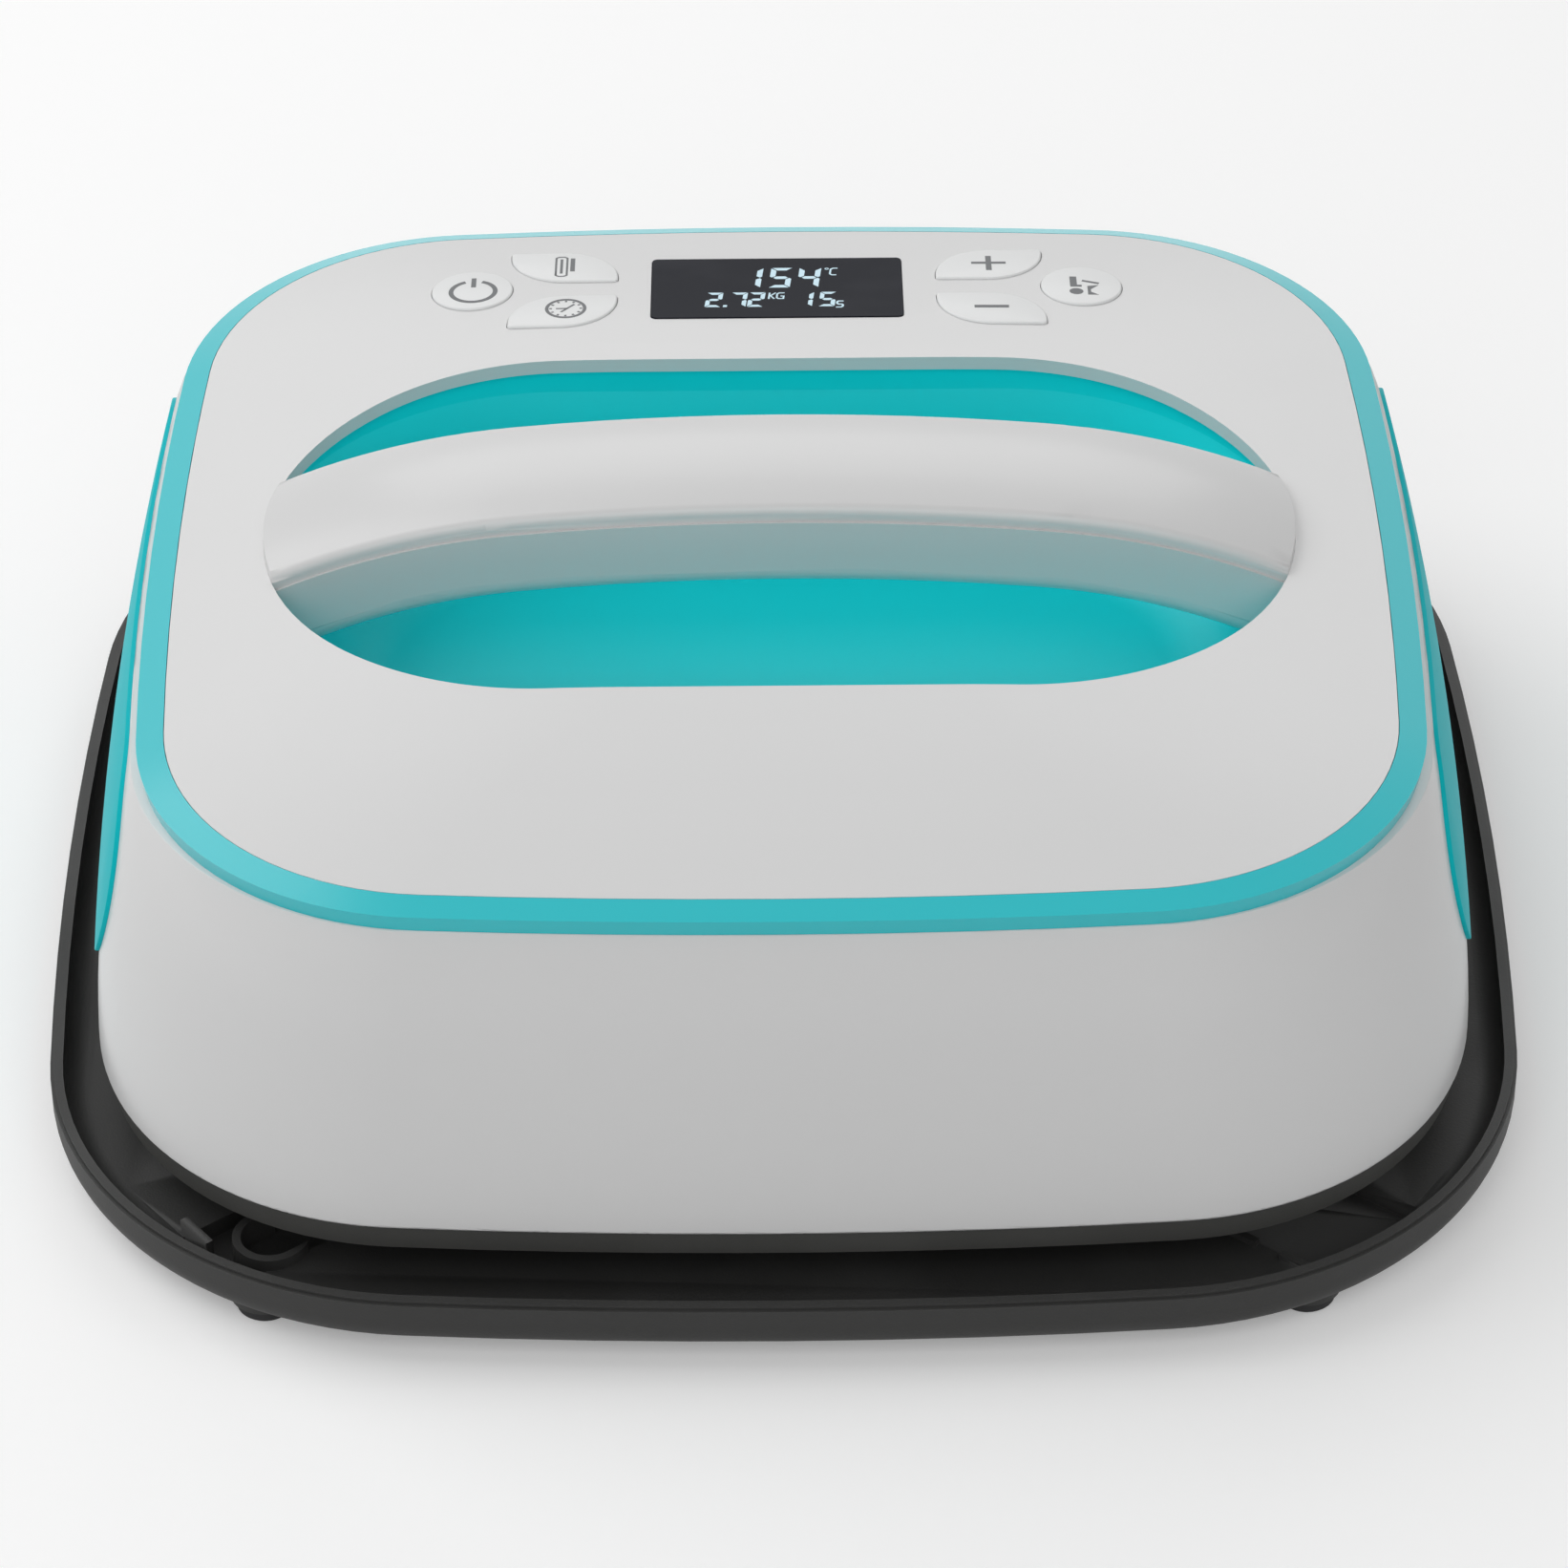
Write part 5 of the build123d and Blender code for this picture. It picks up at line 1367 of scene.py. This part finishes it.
@dataclass
class Grip:
    """Handle halves and the finger bowl under them."""

    bead: float = 0.6 * MM
    bead_lift: float = 0.25 * MM
    seam_reach: float = 0.3 * MM
    end_reach: float = 0.7 * MM
    end_lap: float = 0.15 * MM
    tolerance: float = 0.05 * MM
    bowl: BowlWall = field(default_factory=BowlWall.from_frame)

    def build(self) -> None:
        """Build every piece."""
        self._upper_half()
        self._lower_half()
        # The bowl takes the brighter teal, painted light for its shaded hollow.
        bowl = refined("recess_bowl", TEAL_BOWL_PAINTED_LIGHT, Body.PRESS)
        shade_by(bowl, self.bowl.outward)

    def _upper_half(self) -> None:
        """Build the upper half with its ends lapping the cover's edge."""
        cover = surface_of("top_cover")
        shape = merged("handle_upper")
        for vert in shape.verts:
            nearest, _, _, gap = cover.find_nearest(vert.co)
            if gap < self.end_reach:
                vert.co = nearest + (nearest - vert.co).normalized() * self.end_lap
        refined("handle_upper", PALE_GRIP, Body.PRESS, shape)

    def _lower_half(self) -> None:
        """Build the lower half with a fine bead along its seam."""
        upper_half = surface_of("handle_upper")
        shape = merged("handle_lower")
        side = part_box("handle_lower")[1][1] - self.tolerance
        for vert in shape.verts:
            gap = upper_half.find_nearest(vert.co)[3]
            if abs(vert.co.y) > side and gap < self.seam_reach:
                vert.co.y += math.copysign(self.bead, vert.co.y)
                vert.co.z += self.bead_lift
        refined("handle_lower", PALE_GRIP, Body.PRESS, shape)


@dataclass(frozen=True)
class Key:
    """One key of the panel, with its place in panel millimetres."""

    node: str
    body: Body
    centre: Point
    draw_symbol: Callable[[Stencil], None]


@dataclass
class KeyPanel:
    """Keys with their symbols, and the display with its digits."""

    panel: PanelFrame = field(
        default_factory=lambda: PanelFrame.from_frame("power_press", "display_window")
    )
    ink_proud: float = 0.03 * MM
    key_growth: float = 0.17 * MM
    key_rounding: float = 0.45 * MM
    key_depth: float = 2.5 * MM
    facing: float = 0.97
    sideways: float = 0.3
    round_x: float = 65.7
    leaf_x: float = 46.0
    leaf_v: float = 10.45

    def keys(self) -> list[Key]:
        """List the keys, from left to right.

        Returns:
            The keys with their places and symbols.
        """
        far, near, high = self.round_x, self.leaf_x, self.leaf_v
        return [
            Key("power_button", Body.POWER, (-far, 0.0), self._power),
            Key("temperature_button", Body.TEMPERATURE, (-near, high), self._thermometer),
            Key("timer_button", Body.TIMER, (-near, -high), self._clock),
            Key("plus_button", Body.PLUS, (near, high), self._plus),
            Key("minus_button", Body.MINUS, (near, -high), self._minus),
            Key("mode_button", Body.MODE, (far, 0.0), self._mode),
        ]

    def build(self) -> None:
        """Build every piece."""
        for key in self.keys():
            cap = self._cap(key.node)
            face = BVHTree.FromBMesh(cap)
            refined(key.node, KEY_CAP, key.body, cap)
            stencil = Stencil(self.panel, key.centre)
            key.draw_symbol(stencil)
            stencil.lay(
                f"{key.node}_symbol", face, SYMBOL_INK, key.body, self.ink_proud
            )
        refined("display_window", WINDOW, Body.PRESS)
        self._digits()
        for node, finish in (
            ("display_module", BLACK_RESIN),
            ("control_board", BOARD_GREEN),
            ("key_switches", BLACK_RESIN),
            ("buzzer", BLACK_RESIN),
        ):
            dress_node(node, finish)

    def _cap(self, node: str) -> bmesh.types.BMesh:
        """Build a key with a flat top, a rounded rim and a fine gap around it.

        Args:
            node: The key's node.

        Returns:
            A new bmesh.
        """
        shape = merged(node)
        normal = self.panel.normal
        crest = max(vert.co.dot(normal) for vert in shape.verts)
        top = [
            face
            for face in shape.faces
            if face.normal.dot(normal) > self.facing
            and crest - face.calc_center_median().dot(normal) < self.key_depth
        ]
        area = sum(face.calc_area() for face in top)
        middle = sum((face.calc_center_median() * face.calc_area() for face in top), Vector())
        middle /= area
        lean = sum((face.normal * face.calc_area() for face in top), Vector()).normalized()
        rim = {vert for face in top for vert in face.verts}
        for vert in rim:
            side = vert.normal - normal * vert.normal.dot(normal)
            if side.length > self.sideways:
                vert.co += side.normalized() * self.key_growth
            vert.co -= lean * (vert.co - middle).dot(lean)
        inner = [edge for edge in shape.edges if all(face in top for face in edge.link_faces)]
        bmesh.ops.dissolve_edges(shape, edges=inner, use_verts=False)
        face = max(shape.faces, key=lambda each: each.calc_center_median().dot(normal))
        round_over(shape, list(face.edges), self.key_rounding, segments=3)
        return shape

    def _power(self, stencil: Stencil) -> None:
        """Draw an open ring with a bar in its gap."""
        stencil.arc((0.2, -0.8), 5.3, 1.05, 112, 428)
        stencil.stroke([(0.2, 1.2), (0.2, 5.4)], 1.05)

    def _thermometer(self, stencil: Stencil) -> None:
        """Draw a thermometer tube with its column and a short level bar.

        Args:
            stencil: The key's stencil.
        """
        tube = [(-1.2, -4.3), (-1.2, 4.2), (-0.6, 4.7), (0.6, 4.7), (1.2, 4.2), (1.2, -4.3)]
        tube += [(0.6, -4.8), (-0.6, -4.8), (-1.2, -4.3), (-1.2, -3.0)]
        stencil.stroke([(x - 0.7, v) for x, v in tube], 0.45)
        stencil.stroke([(-0.7, -3.4), (-0.7, 3.6)], 0.6)
        stencil.stroke([(1.7, -2.4), (1.7, 4.0)], 1.0)

    def _clock(self, stencil: Stencil) -> None:
        """Draw a clock dial with ticks and hands.

        Args:
            stencil: The key's stencil.
        """
        x, v = 0.7, 0.8
        dial, dial_line, hand_line = 4.45, 0.75, 0.5
        tick_ends = (2.95, 3.55)
        stencil.arc((x, v), dial, dial_line)
        for hour in range(12):
            turn = math.radians(30 * hour)
            tick = [(x + reach * math.cos(turn), v + reach * math.sin(turn)) for reach in tick_ends]
            stencil.stroke(tick, hand_line)
        stencil.stroke([(x - 1.0, v - 1.6), (x + 1.8, v + 1.9)], hand_line)
        stencil.stroke([(x - 2.1, v), (x + 0.3, v)], hand_line)

    def _plus(self, stencil: Stencil) -> None:
        """Draw a plus sign.

        Args:
            stencil: The key's stencil.
        """
        stencil.stroke([(-3.75, 0.25), (-0.62, 0.25)], 1.05)
        stencil.stroke([(0.62, 0.25), (3.75, 0.25)], 1.05)
        stencil.stroke([(0.0, -3.4), (0.0, 3.6)], 1.24)

    def _minus(self, stencil: Stencil) -> None:
        """Draw a minus sign."""
        stencil.stroke([(-3.7, 0.3), (3.7, 0.3)], 1.2)

    def _mode(self, stencil: Stencil) -> None:
        """Draw a block, a disc, a slanted bar and a notched flag.

        Args:
            stencil: The key's stencil.
        """
        stencil.polygon(
            (-2.45, 3.9), (-0.95, 3.9), (-0.95, 0.1), (0.05, 0.1), (0.05, -0.8), (-2.45, -0.8)
        )
        stencil.disc((-1.2, -2.9), 1.5, 1.4)
        stencil.stroke([(0.2, 2.1), (3.8, 0.9)], 0.75)
        stencil.polygon(
            (1.25, -0.4), (3.7, 0.1), (1.95, -1.9), (1.95, -3.1), (3.6, -4.4), (1.25, -4.4)
        )

    def _digits(self) -> None:
        """Draw the temperature, weight and time on the display."""
        stencil = Stencil(self.panel, (0.0, 0.0))
        tall = SevenSegment(height=9.4, width=4.7, thickness=1.2, gap=0.18)
        low = SevenSegment(height=6.8, width=3.5, thickness=0.95, gap=0.14)
        for digit, x in (("1", -8.35), ("5", -1.95), ("4", 4.2)):
            tall.draw(stencil, DIGIT_SEGMENTS[digit], (x, -0.1))
        for digit, x in (("2", -15.6), ("7", -10.3), ("2", -6.5), ("1", 3.95), ("5", 8.8)):
            low.draw(stencil, DIGIT_SEGMENTS[digit], (x, -9.2))
        stencil.polygon((-11.65, -9.2), (-10.8, -9.2), (-10.7, -8.3), (-11.55, -8.3))
        self._units(stencil)
        window = surface_of("display_window")
        stencil.lay("display_digits", window, DIGITS, Body.PRESS, self.ink_proud)

    def _units(self, stencil: Stencil) -> None:
        """Draw the signs for degrees Celsius, kilograms and seconds.

        Args:
            stencil: The display's stencil.
        """
        letter_c = [(13.2, 9.0), (12.2, 9.0), (11.7, 8.5), (11.5, 6.3), (11.9, 5.8), (12.9, 5.8)]
        letter_g = [(1.65, -2.7), (0.5, -2.7), (0.05, -3.2), (-0.05, -5.0), (0.3, -5.4)]
        letter_g += [(1.35, -5.4), (1.45, -4.2), (0.75, -4.2)]
        letter_s = [(14.3, -6.8), (13.2, -6.8), (12.9, -7.2), (12.9, -7.9), (13.2, -8.25)]
        letter_s += [(13.9, -8.25), (14.15, -8.6), (14.05, -9.3), (13.7, -9.65), (12.6, -9.65)]
        stencil.arc((10.85, 8.75), 0.45, 0.22)
        stencil.stroke(letter_c, 0.4)
        stencil.stroke([(-1.55, -2.6), (-1.8, -5.5)], 0.4)
        stencil.stroke([(-0.25, -2.6), (-1.4, -4.0), (-0.6, -5.5)], 0.35)
        stencil.stroke(letter_g, 0.38)
        stencil.stroke(letter_s, 0.45)


@dataclass
class Base:
    """Rest tray with its feet and mat."""

    def build(self) -> None:
        """Build every piece."""
        refined("base_tray", TRAY_BLACK, Body.BASE)
        refined("base_feet", FOOT_RUBBER, Body.BASE)
        refined("tray_mat", MAT_SILICONE, Body.BASE)


@dataclass
class HeaterStack:
    """Plate, element, clamp, insulation, shield, sensors and load cells."""

    def build(self) -> None:
        """Build every piece."""
        refined("heat_plate", PLATE_COATING, Body.PRESS)
        for node, finish in (
            ("heating_element", ELEMENT_STEEL),
            ("element_clamp", SHEET_STEEL),
            ("insulation_pad", INSULATION),
            ("heat_shield", SHEET_STEEL),
            ("load_cells", SHEET_STEEL),
            ("thermistor", SENSOR_CERAMIC),
            ("thermal_cutoff", SENSOR_CERAMIC),
        ):
            dress_node(node, finish)


@dataclass
class PowerBoard:
    """Inner frame, power board and the parts on it."""

    def build(self) -> None:
        """Dress every piece."""
        for node, finish in (
            ("inner_frame", FRAME_GREY),
            ("power_board", BOARD_GREEN),
            ("transformer", COIL_TAPE),
            ("relay", BLACK_RESIN),
            ("filter_capacitor", CAN_SLEEVE),
            ("terminal_block", TERMINAL_GREEN),
            ("fuse", FUSE_GLASS),
        ):
            dress_node(node, finish)


@dataclass
class Fasteners:
    """Screws and bolts."""

    def build(self) -> None:
        """Dress every screw."""
        for node in (
            "cell_screws",
            "plate_bolts",
            "housing_screws",
            "cover_screws",
            "handle_screws",
            "board_screws",
        ):
            dress_node(node, SCREW_STEEL)


@dataclass
class CordEntry:
    """Cord gland in the rear wall and its nut inside."""

    def build(self) -> None:
        """Build every piece."""
        refined("cord_gland", SKIRT_BLACK, Body.PRESS)
        dress_node("gland_nut", SKIRT_BLACK)


# ---------------------------------------------------------------------------
# Studio
# ---------------------------------------------------------------------------


@dataclass(frozen=True)
class Softbox:
    """A rectangular lamp that faces the middle of the object."""

    name: str
    place: tuple[float, float, float]
    size: tuple[float, float]
    power: float
    target: tuple[float, float, float] = (0.0, 0.0, 0.06)

    def build(self) -> None:
        """Add the lamp to the scene."""
        lamp = bpy.data.lights.new(self.name, "AREA")
        lamp.shape = "RECTANGLE"
        lamp.size, lamp.size_y = self.size
        lamp.energy = self.power
        holder = bpy.data.objects.new(self.name, lamp)
        bpy.context.scene.collection.objects.link(holder)
        holder.location = self.place
        aim = Vector(self.target) - Vector(self.place)
        holder.rotation_euler = aim.to_track_quat("-Z", "Y").to_euler()


@dataclass
class Studio:
    """Camera, lamps, floor and world."""

    eye: tuple[float, float, float] = (-0.0018, -0.9956, 0.7844)
    forward: tuple[float, float, float] = (0.00191, 0.79757, -0.60322)
    roll: float = math.radians(-0.394)
    lens: float = 136.3
    film_width: float = 36.0
    floor_half: float = 2.5
    fade: tuple[float, float] = (0.5, 1.5)
    floor_colour: Colour = (0.84, 0.84, 0.84)
    floor_glow: float = 0.22
    world_level: float = 0.3
    lamps: Sequence[Softbox] = (
        Softbox("key_left", (-1.3, 0.5, 1.5), (1.8, 1.8), 18.0),
        Softbox("rear_top", (0.05, 1.5, 1.12), (1.6, 0.8), 5.5),
        Softbox("front_high", (0.0, -1.5, 1.4), (2.0, 1.4), 12.0),
        Softbox("front_left", (-1.3, -1.3, 0.9), (1.6, 1.6), 1.8),
        Softbox("fill_right", (1.5, 0.1, 0.9), (1.0, 1.0), 1.6),
    )

    def build(self) -> None:
        """Set the studio up around the object."""
        self._camera()
        for lamp in self.lamps:
            lamp.build()
        self._floor()
        self._world()
        bpy.context.scene.view_settings.view_transform = "Standard"

    def _camera(self) -> None:
        """Place the camera."""
        ahead = Vector(self.forward).normalized()
        right = ahead.cross(Vector((0.0, 0.0, 1.0))).normalized()
        up = right.cross(ahead)
        turned_right = right * math.cos(self.roll) + up * math.sin(self.roll)
        turned_up = up * math.cos(self.roll) - right * math.sin(self.roll)
        made = bpy.data.cameras.new("camera")
        made.lens = self.lens
        made.sensor_width = self.film_width
        made.clip_start = 0.01
        holder = bpy.data.objects.new("camera", made)
        bpy.context.scene.collection.objects.link(holder)
        turn = Matrix((turned_right, turned_up, -ahead)).transposed().to_4x4()
        holder.matrix_world = Matrix.Translation(Vector(self.eye)) @ turn
        bpy.context.scene.camera = holder

    def _floor(self) -> None:
        """Lay a pale floor under the object."""
        shape = bmesh.new()
        bmesh.ops.create_grid(shape, x_segments=8, y_segments=8, size=self.floor_half)
        mesh = bpy.data.meshes.new("floor")
        shape.to_mesh(mesh)
        shape.free()
        floor = bpy.data.objects.new("floor", mesh)
        bpy.context.scene.collection.objects.link(floor)
        shader = Shader("floor_paper")
        near, far = (radius / self.floor_half for radius in self.fade)
        fade = shader.ramp(shader.away() * (1.0 / self.floor_half), (near, 0.0), (far, 1.0))
        glow = fade * (1.0 - self.floor_glow) + self.floor_glow
        shader.set(
            Base_Color=self.floor_colour,
            Roughness=0.9,
            Specular_IOR_Level=0.1,
            Emission_Color=shader.blend(shader.seen() * glow, (0.0,) * 3, (1.0,) * 3),
            Emission_Strength=1.0,
        )
        mesh.materials.append(shader.material)

    def _world(self) -> None:
        """Fill the room with soft white light and show plain white behind the object."""
        world = bpy.data.worlds.new("room")
        shader = Shader(world.name, world)
        level = shader.seen() * (1.0 - self.world_level) + self.world_level
        shader.feed(shader.surface.inputs["Color"], (1.0, 1.0, 1.0))
        shader.feed(shader.surface.inputs["Strength"], level)
        bpy.context.scene.world = world


def main() -> None:
    logging.basicConfig(level=logging.INFO, format="%(message)s")
    Studio().build()
    for assembly in (
        Base(),
        Housing(),
        Grip(),
        KeyPanel(),
        HeaterStack(),
        PowerBoard(),
        Fasteners(),
        CordEntry(),
    ):
        assembly.build()


if __name__ == "__main__":
    main()
